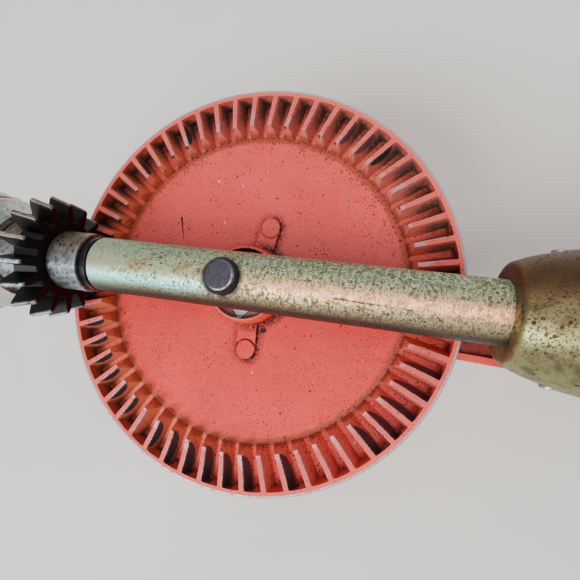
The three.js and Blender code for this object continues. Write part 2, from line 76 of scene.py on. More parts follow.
X, Y, Z = 0, 1, 2
GEAR = Vector(JOINTS["gear_spin"]["pos_m"])  # gear centre, on the plane of the rim's top
AXLE = Vector((GEAR.x, 0.0, 0.0))  # where the spindle axis crosses the gear axle
KNOB = Vector(JOINTS["knob_spin"]["pos_m"])
KNOB.z = GEAR.z
CHUCK = Vector((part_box("chuck_body")[1].x, 0.0, 0.0))  # centre of the chuck's rear face

# ---------- dimensions ----------

TEETH = 56
TOOTH_STEP = 2 * math.pi / TEETH
GEAR_RADIUS = reach("drive_gear", X, GEAR)[1]
RIM_INNER = GEAR_RADIUS - 1.5
TOOTH_TOP_START = 40.2
TOP_SLOPE = 0.25  # how fast the tooth tops rise from the rim inwards
TOOTH_FOOT_START = 38.9
TOOTH_MID = 45.0
LAND = 0.6  # half the width of a tooth's top at TOOTH_MID
FLANK = 0.27  # how much a flank spreads for each millimetre of depth
DISC = -2.2
FLOOR_END = -4.5
HUB_FOOT = 9.9
HUB_RADIUS = 9.0
HUB_TOP = reach("drive_gear", Z, GEAR)[1]
HUB_RECESS = 8.4
HUB_FLOOR = 1.5
GEAR_BORE = 5.1
WEB_BACK = -5.2
RIM_BACK = -7.6
HUB_BACK = -8.3
HUB_BACK_RADIUS = 13.0
KEY = 7.0  # half the side of the square that drives the crank arm
KEY_CORNER = KEY * 1.36  # radius that the square's corners are cut to
KEY_BACK = reach("drive_gear", Z, GEAR)[0]
ARM_ANGLE = math.atan2(KNOB.y - GEAR.y, KNOB.x - GEAR.x)
KNOB_X = (KNOB - GEAR).length / MM  # along the arm, from the axle to the knob
BARS = [(math.radians(78.5), 15.5), (math.radians(-86.8), 16.1)]  # angle and reach of each
BAR_HALF = 2.6
BAR_TOP = DISC + 0.5

TUBE_RADIUS = reach("frame_tube", Z, AXLE)[1]
TUBE_FRONT, TUBE_REAR = reach("frame_tube", X, AXLE)
TUBE_BORE = 5.15
PIN_RADIUS = reach("axle_pin", X, AXLE)[1]
PIN_TOP = reach("axle_pin", Z, GEAR)[1]
PINION_TIP = 14.1  # the pinion's radius over its teeth, at TOOTH_MID
PIN_HOLE = 1.56
SPINDLE_HOLE = 4.06

# ---------- camera ----------


def add_camera():
    data = bpy.data.cameras.new("camera")
    data.sensor_width = 36.0
    data.lens = 23.217
    data.clip_start = 0.005
    camera = bpy.data.objects.new("camera", data)
    camera.location = AXLE + Vector((30.58, -5.53, 77.24)) * MM
    camera.rotation_euler = [math.radians(turn) for turn in (5.2341, 12.0952, 8.0160)]
    bpy.context.scene.collection.objects.link(camera)
    bpy.context.scene.camera = camera


add_camera()

# ---------- meshes ----------


def rounded(points, radius=None, steps=4, closed=False):
    """The outline with its corners turned into curves. No radius rounds them fully."""
    result = []
    count = len(points)
    for i, point in enumerate(points):
        corner = Vector(point)
        at_end = not closed and i in (0, count - 1)
        before = Vector(points[i - 1]) - corner
        after = Vector(points[(i + 1) % count]) - corner
        room = min(before.length, after.length) / 2
        cut = room if radius is None else min(radius, room)
        if at_end or cut < 0.01:
            result.append(corner)
            continue
        start = corner + before.normalized() * cut
        end = corner + after.normalized() * cut
        for k in range(steps + 1):
            t = k / steps
            result.append(start * (1 - t) ** 2 + corner * 2 * t * (1 - t) + end * t * t)
    return result


def arc(centre, radius, start, end, steps):
    """Points of an arc, its angles in degrees."""
    turns = [math.radians(start + (end - start) * k / steps) for k in range(steps + 1)]
    return [(centre[0] + radius * math.cos(t), centre[1] + radius * math.sin(t)) for t in turns]


def loft(loops, closed_along=False):
    """A bmesh skin over closed loops of points. A loop of one point is a pole."""
    skin = bmesh.new()
    rings = [[skin.verts.new(point) for point in loop] for loop in loops]
    following = rings[1:] + rings[:1] if closed_along else rings[1:]
    for low, high in zip(rings, following):
        for i in range(max(len(low), len(high))):
            corners = [low[i % len(low)], low[(i + 1) % len(low)]]
            corners += [high[(i + 1) % len(high)], high[i % len(high)]]
            skin.faces.new(list(dict.fromkeys(corners)))
    if not closed_along:
        for ring in (rings[0], rings[-1]):
            if len(ring) > 2:
                skin.faces.new(ring)
    bmesh.ops.recalc_face_normals(skin, faces=skin.faces)
    return skin


def finish_mesh(name, skin, origin):
    """An object from a bmesh in millimetres round an origin."""
    bmesh.ops.scale(skin, vec=(MM, MM, MM), verts=skin.verts)
    bmesh.ops.translate(skin, vec=origin, verts=skin.verts)
    mesh = bpy.data.meshes.new(name)
    skin.to_mesh(mesh)
    skin.free()
    piece = bpy.data.objects.new(name, mesh)
    bpy.context.scene.collection.objects.link(piece)
    return piece


def turned(name, profile, axis, origin, segments=96, ring=False, shape=None):
    """A turned piece. Each profile point is (place along the axis, radius)."""
    loops = []
    for along, radius in profile:
        turns = [2 * math.pi * i / segments for i in range(segments)]
        if radius < 1e-6:
            turns = [0.0]
        loop = []
        for turn in turns:
            r = shape(along, radius, turn) if shape else radius
            a, b = r * math.cos(turn), r * math.sin(turn)
            loop.append({X: (along, a, b), Y: (a, along, b), Z: (a, b, along)}[axis])
        loops.append(loop)
    return finish_mesh(name, loft(loops, closed_along=ring), origin)


def extruded(name, outline, low, high, origin):
    """A plate between two heights."""
    loops = [[(x, y, z) for x, y in outline] for z in (low, high)]
    return finish_mesh(name, loft(loops), origin)


def applied(piece):
    """The piece with its modifiers worked into its mesh."""
    state = bpy.context.evaluated_depsgraph_get()
    result = bpy.data.meshes.new_from_object(piece.evaluated_get(state))
    piece.modifiers.clear()
    piece.data = result
    return piece


def bevelled(piece, width, segments=3, angle=35):
    """The piece with a bevel, its width in mm, on edges sharper than an angle in degrees."""
    modifier = piece.modifiers.new("edges", "BEVEL")
    modifier.width = width * MM
    modifier.segments = segments
    modifier.limit_method = "ANGLE"
    modifier.angle_limit = math.radians(angle)
    return piece


def combined(piece, tool, operation):
    """The piece after a boolean with a tool, which is used up."""
    modifier = piece.modifiers.new("shape", "BOOLEAN")
    modifier.operation = operation
    modifier.object = tool
    modifier.solver = "EXACT"
    applied(piece)
    bpy.data.objects.remove(tool)
    return piece


def without(piece, tool):
    return combined(piece, tool, "DIFFERENCE")


def spun(piece, angle):
    """The piece turned about the gear axle."""
    turn = Matrix.Rotation(angle, 4, "Z")
    piece.data.transform(Matrix.Translation(GEAR) @ turn @ Matrix.Translation(-GEAR))
    return piece


def beside(origin, x):
    """An origin moved along X by millimetres."""
    return origin + Vector((x, 0.0, 0.0)) * MM


def rod(axis, radius, low, high, origin, segments=64):
    """A plain round tool for booleans, along one axis."""
    return turned("tool", [(low, radius), (high, radius)], axis, origin, segments)


HANDLE_PIN = beside(AXLE, sum(reach("handle_pin", X, AXLE)) / 2)


def handle_pin_hole():
    return rod(Y, PIN_HOLE, -20, 20, HANDLE_PIN)


def settle(piece, material, body, node, angle=38.0, bevel=0.0):
    """Shades a piece, gives it its material and its body, and hides the CAD node that it stands for."""
    piece.data.shade_smooth()
    piece.data.set_sharp_from_angle(angle=math.radians(angle))
    if bevel:
        bevelled(piece, bevel)
    piece.modifiers.new("faces", "WEIGHTED_NORMAL").keep_sharp = True
    piece.data.materials.clear()
    piece.data.materials.append(material)
    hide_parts(node)
    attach(piece, body)


# ---------- material graphs ----------


class Graph:
    """Makes one material's nodes. Its coordinates are millimetres from an origin."""

    def __init__(self, name, origin):
        self.material = bpy.data.materials.new(name)
        self.material.use_nodes = True
        self.tree = self.material.node_tree
        self.shader = self.tree.nodes["Principled BSDF"]
        coordinates = self.node("TexCoord", {})
        start = {0: coordinates.outputs["Object"], 1: tuple(origin)}
        moved = self.node("VectorMath", start, operation="SUBTRACT")
        scaled = self.node("VectorMath", {0: moved.outputs[0], "Scale": 1 / MM}, operation="SCALE")
        self.place = scaled.outputs[0]
        self.x, self.y, self.z = self.split(self.place)
        self.facing_z = self.split(coordinates.outputs["Normal"])[2]

    def feed(self, node, values):
        """Links or sets a node's inputs, given by name or number."""
        for key, value in values.items():
            if isinstance(value, bpy.types.NodeSocket):
                self.tree.links.new(value, node.inputs[key])
            else:
                node.inputs[key].default_value = value

    def node(self, kind, values, **settings):
        node = self.tree.nodes.new("ShaderNode" + kind)
        for key, value in settings.items():
            setattr(node, key, value)
        self.feed(node, values)
        return node

    def split(self, vector):
        return self.node("SeparateXYZ", {0: vector}).outputs[0:3]

    def join(self, x, y, z=0.0):
        return self.node("CombineXYZ", {0: x, 1: y, 2: z}).outputs[0]

    def math(self, operation, a, b=0.0):
        return self.node("Math", {0: a, 1: b}, operation=operation).outputs[0]

    def times(self, first, *others):
        for other in others:
            first = self.math("MULTIPLY", first, other)
        return first

    def plus(self, a, b):
        return self.math("ADD", a, b)

    def minus(self, a, b):
        return self.math("SUBTRACT", a, b)

    def either(self, first, *others):
        for other in others:
            first = self.math("MAXIMUM", first, other)
        return first

    def size(self, a, b):
        return self.math("SQRT", self.plus(self.times(a, a), self.times(b, b)))

    def away(self, value, middle):
        """Distance of a value from a middle."""
        return self.math("ABSOLUTE", self.minus(value, middle))

    def ramp(self, value, start, end, low=0.0, high=1.0):
        """A smooth step from low at start to high at end."""
        limits = (end, start, high, low) if start > end else (start, end, low, high)
        values = dict(enumerate((value, *limits)))
        return self.node("MapRange", values, interpolation_type="SMOOTHSTEP").outputs["Result"]

    def grain(self, scale, detail=3.0, roughness=0.55, vector=None):
        """Noise between about 0.2 and 0.8, its scale in cycles for each millimetre."""
        values = {"Vector": vector or self.place, "Scale": scale}
        return self.node("TexNoise", {**values, "Detail": detail, "Roughness": roughness}).outputs[0]

    def spots(self, scale, share, size, vector=None):
        """Separate dots: share of the cells have one, of about that size in cells."""
        cells = self.node("TexVoronoi", {"Vector": vector or self.place, "Scale": scale})
        pick, spread = self.split(cells.outputs["Color"])[0:2]
        chosen = self.math("LESS_THAN", pick, share)
        reach_out = self.plus(self.times(spread, size), size / 2)
        inside = self.minus(reach_out, cells.outputs["Distance"])
        return self.times(chosen, self.ramp(inside, 0.0, size / 2))

    def chance(self, value):
        return self.node("TexWhiteNoise", {"W": value}, noise_dimensions="1D").outputs["Value"]

    def mix(self, factor, a, b):
        return self.node("Mix", {0: factor, 6: a, 7: b}, data_type="RGBA").outputs[2]

    def cover(self, colour, *amounts):
        """Lays a colour over what is there, as far as the product of the amounts."""
        self.colour = self.mix(self.times(*amounts), self.colour, colour)

    def blend(self, factor, a, b):
        """A number between a and b."""
        return self.node("Mix", {0: factor, 2: a, 3: b}, data_type="FLOAT").outputs[0]

    def done(self, roughness, metallic=0.0, relief=None, specular=0.5):
        """Connects the shader. Relief is a height in millimetres."""
        self.feed(self.shader, {"Base Color": self.colour, "Roughness": roughness})
        self.feed(self.shader, {"Metallic": metallic, "Specular IOR Level": specular})
        if relief is not None:
            bump = self.node("Bump", {"Distance": MM, "Height": relief})
            self.feed(self.shader, {"Normal": bump.outputs[0]})
        return self.material


def tone(red, green, blue):
    """A colour from sRGB values of 0 to 255."""
    values = [value / 255 for value in (red, green, blue)]
    linear = [v / 12.92 if v < 0.04045 else ((v + 0.055) / 1.055) ** 2.4 for v in values]
    return (*linear, 1.0)


# ---------- paint ----------

PAINT = tone(212, 48, 43)
PAINT_LIGHT = tone(232, 60, 55)
PAINT_PINK = tone(238, 116, 102)
PAINT_DARK = tone(160, 30, 28)
PAINT_BROWN = tone(112, 52, 36)
GRIME = tone(34, 22, 20)
BARE = tone(178, 188, 198)
BARE_DARK = tone(78, 88, 98)


def bar_dirt(g, angle, bar_reach):
    """Dirt beside a bar on the disc, and the fine line round its end mark."""
    along = g.plus(g.times(g.x, math.cos(angle)), g.times(g.y, math.sin(angle)))
    aside = g.minus(g.times(g.y, math.cos(angle)), g.times(g.x, math.sin(angle)))
    past = g.math("MAXIMUM", g.minus(along, bar_reach), 0.0)
    outside = g.minus(g.size(past, aside), BAR_HALF)
    ahead = g.ramp(along, 8.5, 9.8)
    beside = g.times(g.ramp(outside, 1.3, 0.1), g.ramp(outside, -0.35, -0.05), ahead)
    rightward = g.ramp(g.times(aside, math.copysign(1.0, angle)), 1.5, -1.5, 0.6, 1.0)
    fringe = g.times(g.ramp(outside, 2.6, 0.3), g.ramp(outside, -0.3, 0.1), ahead, rightward)
    from_mark = g.size(g.minus(along, bar_reach), aside)
    line = g.ramp(g.away(from_mark, BAR_HALF - 0.05), 0.36, 0.14)
    return g.times(beside, rightward), fringe, line


def scored_line(g, start, end, width):
    """A thin score in the paint, tapering from start to end on the disc."""
    run = Vector(end) - Vector(start)
    ux, uy = run.normalized()
    from_x, from_y = g.minus(g.x, start[0]), g.minus(g.y, start[1])
    along = g.plus(g.times(from_x, ux), g.times(from_y, uy))
    across = g.math("ABSOLUTE", g.minus(g.times(from_x, uy), g.times(from_y, ux)))
    reach_out = g.minus(g.ramp(along, -0.5, run.length, width, width * 0.3), across)
    ends = g.times(g.ramp(along, -0.2, 0.1), g.ramp(along, run.length, run.length - 0.8))
    on_top = g.times(g.ramp(g.z, -4.0, -3.0), g.ramp(g.z, 0.0, -1.0))
    return g.times(g.ramp(reach_out, -0.04, 0.08), ends, on_top)


class GearGraph(Graph):
    """The gear's material, with the masks that its layers share."""

    def __init__(self):
        super().__init__("gear_paint", GEAR)
        self.radius = self.size(self.x, self.y)
        turn = self.plus(self.times(self.math("ARCTAN2", self.y, self.x), 1 / TOOTH_STEP), 0.5)
        self.tooth = self.math("FLOOR", turn)
        self.phase = self.minus(self.math("FRACT", turn), 0.5)
        self.leading = self.math("GREATER_THAN", self.phase, 0.0)
        tops = self.times(self.minus(RIM_INNER, self.radius), TOP_SLOPE)
        self.below = self.minus(tops, self.z)

        self.fine = self.grain(0.8, 4.0, 0.6)
        self.mottle = self.grain(2.2, 3.0, 0.65)
        self.ragged = self.grain(1.6, 4.0, 0.65)

        self.flat = self.ramp(self.facing_z, 0.8, 0.95)
        inside_rim = self.ramp(self.radius, RIM_INNER + 0.15, RIM_INNER)
        self.toothed = self.times(self.ramp(self.radius, 38.85, 39.1), inside_rim)
        self.flank = self.times(self.toothed, self.minus(1.0, self.flat))
        self.land = self.times(self.flat, self.ramp(self.below, 0.4, 0.15), self.toothed)
        self.on_disc = self.times(self.flat, self.ramp(self.radius, 38.6, 37.8))
        self.outward = self.ramp(self.radius, 41.5, 48.8)
        self.lower_right = self.ramp(self.minus(self.x, self.y), 14.0, 40.0)


def lay_gear_colours(g):
    """Mottled red paint; a painted highlight makes the tooth tops and rim paler, a painted sheen and the
    tube's painted shadow lie on the disc, and the flanks, orange on the left, and the floors between the
    teeth darken towards the rim with painted shade.
    """
    g.colour = g.mix(g.times(g.ramp(g.grain(0.07, 2.0), 0.3, 0.7), 0.6), PAINT, PAINT_LIGHT)
    g.cover(PAINT_DARK, g.ramp(g.mottle, 0.5, 0.7), 0.5)
    g.cover(PAINT_PINK, g.ramp(g.grain(1.1, 3.0, 0.6), 0.56, 0.7), 0.2)
    on_rim = g.times(g.flat, g.ramp(g.radius, RIM_INNER - 0.2, RIM_INNER + 0.1))
    # Painted highlight: the tooth tops and the rim's top are paler pink.
    g.cover(PAINT_PINK, g.either(g.land, on_rim), 0.42)

    # Flank tones: orange on the left, pink to crimson on the lower right; the darker outer tones are
    # painted shade towards the rim.
    leftward = g.ramp(g.plus(g.x, g.times(g.y, 0.3)), 6.0, -26.0)
    inner = g.mix(g.lower_right, tone(200, 110, 98), tone(216, 96, 84))
    inner = g.mix(leftward, inner, tone(206, 108, 74))
    outer = g.mix(g.lower_right, tone(170, 100, 92), tone(196, 84, 78))
    outer = g.mix(leftward, outer, tone(164, 92, 72))
    g.cover(g.mix(g.outward, inner, outer), g.flank, 0.85)
    g.cover(tone(160, 62, 62), g.flank, g.ramp(g.ragged, 0.5, 0.66), 0.5)
    # Painted shade deep on the flanks towards the rim.
    shaded = g.blend(g.lower_right, 0.8, 0.35)
    g.cover(tone(92, 62, 52), g.flank, g.ramp(g.below, 2.0, 4.4), g.outward, shaded)

    # Painted sheen: the disc is paler and greyer on its upper side.
    g.cover(tone(168, 134, 132), g.on_disc, g.ramp(g.y, -1.0, 7.0, 0.0, 0.12))
    # Painted shadow of the tube on the disc, along its upper side.
    tube_shadow = g.times(g.ramp(g.y, 1.0, 4.0), g.ramp(g.y, 22.0, 6.0))
    g.cover(tone(104, 108, 104), g.on_disc, tube_shadow, 0.2)
    floor = g.times(g.flat, g.toothed, g.ramp(g.below, 2.5, 3.5))
    g.cover(g.mix(g.lower_right, tone(214, 108, 90), tone(226, 100, 96)), floor, 0.6)
    # Painted shade, with some grime, darkens the floors towards the rim.
    g.cover(PAINT_BROWN, floor, g.outward, g.blend(g.lower_right, 0.65, 0.15))
    # A brown band of painted shade on the slope where the teeth meet the disc.
    band = g.plus(g.away(g.radius, 38.6), g.times(g.minus(g.fine, 0.5), 1.6))
    g.cover(tone(142, 66, 44), g.ramp(band, 1.25, 0.6), 0.72)


def gear_dirt_and_shade(g):
    """Dirt at the feet of the teeth, dirt and painted shade deep between them, painted shade on the flanks
    that face away, dirt by the bars and hub, and dirt strewn about.
    """
    around = g.ramp(g.plus(g.x, g.y), -50.0, 10.0, 0.25, 1.0)
    dirt = [g.times(g.ramp(g.away(g.radius, 38.8), 0.9, 0.1), g.ramp(g.mottle, 0.46, 0.6), around, 0.85)]
    for angle, bar_reach in BARS:
        beside, fringe, line = bar_dirt(g, angle, bar_reach)
        bold = 0.95 if angle < 0 else 0.5
        dirt.append(g.times(beside, g.ramp(g.fine, 0.3, 0.56)))
        dirt.append(g.times(fringe, g.ramp(g.mottle, 0.44, 0.56), 0.9))
        dirt.append(g.times(line, g.ramp(g.fine, 0.28, 0.5), bold))

    by_hub = g.times(g.ramp(g.radius, 12.6, 10.2), g.ramp(g.radius, 9.0, 9.3))
    by_hub = g.times(by_hub, g.ramp(g.z, 2.8, -1.4), g.ramp(g.x, -6.0, 5.0, 0.3, 1.0))
    dirt.append(g.times(by_hub, g.ramp(g.mottle, 0.36, 0.52)))
    clot = g.size(g.minus(g.x, 4.6), g.plus(g.y, 10.6))
    dirt.append(g.ramp(g.plus(clot, g.times(g.fine, 2.4)), 2.1, 1.7))

    upper = g.ramp(g.y, -12.0, 14.0)
    crust = g.ramp(g.grain(0.7, 4.0, 0.6), 0.62, 0.4)
    dirt_and_shade_amount = g.blend(upper, g.times(crust, 0.8), g.blend(crust, 0.5, 1.0))
    # Dirt and painted shade deep in the tooth spaces, heavier towards the rim.
    in_spaces = g.times(g.toothed, g.ramp(g.below, 1.7, 3.6), g.blend(g.outward, 0.2, 1.0), dirt_and_shade_amount)
    dirt.append(g.times(in_spaces, g.ramp(g.ragged, 0.34, 0.54), g.blend(g.lower_right, 0.8, 0.4)))
    low = g.times(g.toothed, g.lower_right, g.ramp(g.below, 1.5, 2.5))
    dirt.append(g.times(low, g.spots(1.5, 0.6, 0.34), 0.85))
    # Painted shade on the flanks that face away from the light in the upper half, darker towards the rim.
    far_flank_shade = g.times(g.flank, upper, g.minus(1.0, g.leading), g.ramp(g.below, 0.5, 1.6))
    g.cover(tone(76, 66, 58), far_flank_shade, g.ramp(g.radius, 41.5, 46.0), g.ramp(g.fine, 0.3, 0.5), 0.8)

    specks = g.either(g.spots(0.6, 0.3, 0.14), g.times(g.spots(1.6, 0.4, 0.22), 0.9))
    clusters = g.times(g.spots(2.4, 0.6, 0.34), g.ramp(g.grain(0.13, 3.0, 0.6), 0.52, 0.62))
    dirt.append(g.times(g.either(specks, clusters), 0.9))
    strewn = g.either(g.spots(2.0, 0.75, 0.42), g.times(g.spots(1.1, 0.4, 0.3), 0.8))
    strewn = g.times(strewn, g.on_disc, g.ramp(g.radius, 33.0, 37.6))
    side = g.ramp(g.plus(g.y, g.times(g.x, -0.4)), -24.0, 8.0, 0.35, 1.0)
    dirt.append(g.times(strewn, side, g.ramp(g.grain(0.35, 3.0, 0.6), 0.42, 0.56), 0.9))
    dirt.append(scored_line(g, (-22.4, 16.2), (-20.6, 9.5), 0.3))
    return g.either(*dirt)


def tooth_wear(g):
    """Where metal shows: bright on tooth edges, ends and the rim, dark on the flanks, where the dark
    patches grow on the lower right as painted shade.
    """
    aside = g.math("ABSOLUTE", g.times(g.phase, g.radius, TOOTH_STEP))
    edge = g.ramp(g.away(aside, g.times(g.radius, LAND / TOOTH_MID)), 0.24, 0.06)
    edge = g.times(edge, g.ramp(g.below, 0.6, 0.25), g.toothed)
    chipped = g.times(edge, g.ramp(g.ragged, 0.53, 0.62))
    rubbed = g.times(edge, g.ramp(g.away(g.radius, 44.5), 3.4, 2.4), g.ramp(g.ragged, 0.4, 0.5), g.leading)
    luck = g.chance(g.tooth)
    worn_to = g.plus(40.5, g.times(luck, luck, luck, 4.0))
    worn_end = g.times(g.land, g.ramp(g.minus(worn_to, g.radius), -1.0, 0.5), g.ramp(g.mottle, 0.4, 0.6))
    from_rim_edge = g.size(g.minus(g.radius, GEAR_RADIUS), g.z)
    rim_wear = g.times(g.ramp(from_rim_edge, 0.75, 0.4), g.ramp(g.fine, 0.34, 0.48))
    white_chips = g.times(g.spots(0.3, 0.12, 0.08), g.minus(1.0, g.flank))
    bright = g.either(chipped, rubbed, g.times(worn_end, 0.8), rim_wear, g.times(white_chips, 0.9))

    side_luck = g.chance(g.plus(g.times(g.tooth, 2.0), g.math("SIGN", g.phase)))
    # Painted shade: on the lower right the dark flank patches are larger and reach further out.
    middle = g.plus(42.9, g.plus(g.times(side_luck, 1.6), g.times(g.lower_right, 2.4)))
    along = g.times(g.minus(g.radius, middle), 1 / 3.6)
    reached = g.plus(g.size(along, g.times(g.below, 1 / 2.4)), g.times(g.ragged, 0.5))
    reached = g.plus(reached, g.times(g.lower_right, g.leading, -0.6))
    missing = g.blend(g.leading, 0.8, 0.12)
    wear_and_shade_patch = g.times(g.flank, g.ramp(reached, 1.32, 1.18), g.ramp(g.minus(side_luck, missing), -0.02, 0.06))
    return bright, wear_and_shade_patch


def lay_hub_ring(g, dirt):
    """A painted orange highlight on the hub's ring, and a painted pale highlight on the lip inside it."""
    # Painted highlight: an orange sheen over the hub's ring.
    hub_ring_highlight = g.times(g.ramp(g.away(g.radius, HUB_RADIUS), 0.9, 0.6), g.ramp(g.z, -1.5, 0.5))
    g.cover(tone(236, 84, 50), hub_ring_highlight, g.minus(1.0, dirt), 0.75)
    # Painted highlight on the lower inner edge of the ring.
    lip = g.ramp(g.away(g.radius, HUB_RECESS + 0.12), 0.2, 0.07)
    lip = g.times(lip, g.ramp(g.z, HUB_TOP - 0.5, HUB_TOP - 0.2), g.ramp(g.y, -1.0, -5.0))
    g.cover(tone(255, 158, 150), lip, g.ramp(g.x, 6.0, -2.0, 0.3, 0.9))


def lay_hub_recess(g):
    """The stained recess, painted dark as shade on its far side, with one bright painted reflection that
    narrows towards the ring.
    """
    recess = g.times(g.ramp(g.radius, HUB_RECESS + 0.2, HUB_RECESS), g.ramp(g.z, 1.0, 1.3))
    front = g.ramp(g.y, -3.0, -5.0)
    stained = g.mix(g.ramp(g.ragged, 0.4, 0.6), tone(214, 128, 130), tone(160, 110, 118))
    # Painted shade: the recess's far, upper side is dark; the near side shows its stains.
    g.cover(g.mix(front, tone(74, 50, 46), stained), recess)
    # Painted reflection: a bright bluish-white shape in the near side of the recess, narrowing towards the
    # ring.
    half = g.math("MAXIMUM", g.plus(g.times(g.plus(g.y, 7.9), 0.9), 0.7), 0.5)
    over = g.minus(g.away(g.x, -0.7), half)
    g.cover(tone(248, 250, 255), recess, front, g.ramp(over, 0.1, -0.05))
    # Dark lines round and across the painted reflection.
    seam = g.either(g.ramp(g.away(over, 0.15), 0.2, 0.1), g.ramp(g.away(g.y, -7.76), 0.14, 0.06))
    g.cover(tone(52, 44, 58), seam, recess, front, g.ramp(over, 0.4, 0.3))


def gear_paint():
    g = GearGraph()
    lay_gear_colours(g)
    dirt = gear_dirt_and_shade(g)
    # Dirt, with painted shade deep in the tooth spaces.
    g.cover(GRIME, dirt)
    lay_hub_ring(g, dirt)
    bright, wear_and_shade_patch = tooth_wear(g)
    # Dark patches on the flanks: wear, and painted shade on the lower right.
    g.cover(BARE_DARK, wear_and_shade_patch, 0.95)
    g.cover(BARE, bright, 0.9)
    lay_hub_recess(g)
    metallic = g.either(g.times(bright, 0.8), g.times(wear_and_shade_patch, 0.85))
    roughness = g.blend(dirt, g.plus(0.4, g.times(g.fine, 0.2)), 0.75)
    roughness = g.blend(metallic, roughness, 0.36)
    relief = g.plus(g.times(g.fine, 0.06), g.times(g.mottle, 0.08))
    relief = g.plus(relief, g.times(g.grain(5.0, 2.0, 0.6), 0.03))
    relief = g.minus(relief, g.times(g.either(bright, wear_and_shade_patch), 0.05))
    return g.done(roughness, metallic, relief, 0.28)


def arm_paint():
    """The gear's paint on the arm, darker and dirtier in the sunk panel."""
    g = Graph("arm_paint", GEAR)
    fine = g.grain(0.8, 4.0, 0.6)
    ragged = g.grain(0.6, 4.0, 0.65)
    mottle = g.grain(2.2, 3.0, 0.65)
    depth = g.times(g.z, -1.0)
    flat = g.ramp(g.math("ABSOLUTE", g.facing_z), 0.8, 0.95)
    sunk = g.times(g.ramp(depth, 9.5, 10.0), g.ramp(depth, 13.2, 12.7), flat)
    g.colour = g.mix(g.ramp(g.grain(0.09), 0.35, 0.65), PAINT, PAINT_LIGHT)
    g.cover(PAINT_DARK, g.ramp(mottle, 0.5, 0.72), 0.3)
    g.cover(tone(112, 26, 30), sunk, 0.85)
    specks = g.either(g.spots(0.7, 0.3, 0.2), g.times(g.spots(1.8, 0.35, 0.25), 0.7))
    dirt = g.either(g.times(specks, 0.85), g.times(sunk, g.ramp(fine, 0.5, 0.7), 0.6))
    g.cover(GRIME, dirt)
    corner = g.times(g.minus(1.0, flat), g.ramp(g.away(depth, 11.45), 2.3, 2.75))
    bright = g.times(corner, g.ramp(ragged, 0.54, 0.62))
    g.cover(BARE, bright)
    roughness = g.blend(dirt, g.plus(0.34, g.times(fine, 0.2)), 0.75)
    relief = g.plus(g.times(g.grain(5.0, 2.0), 0.02), g.plus(g.times(fine, 0.05), g.times(mottle, 0.04)))
    return g.done(roughness, g.times(bright, 0.8), relief, 0.4)


# ---------- metals ----------


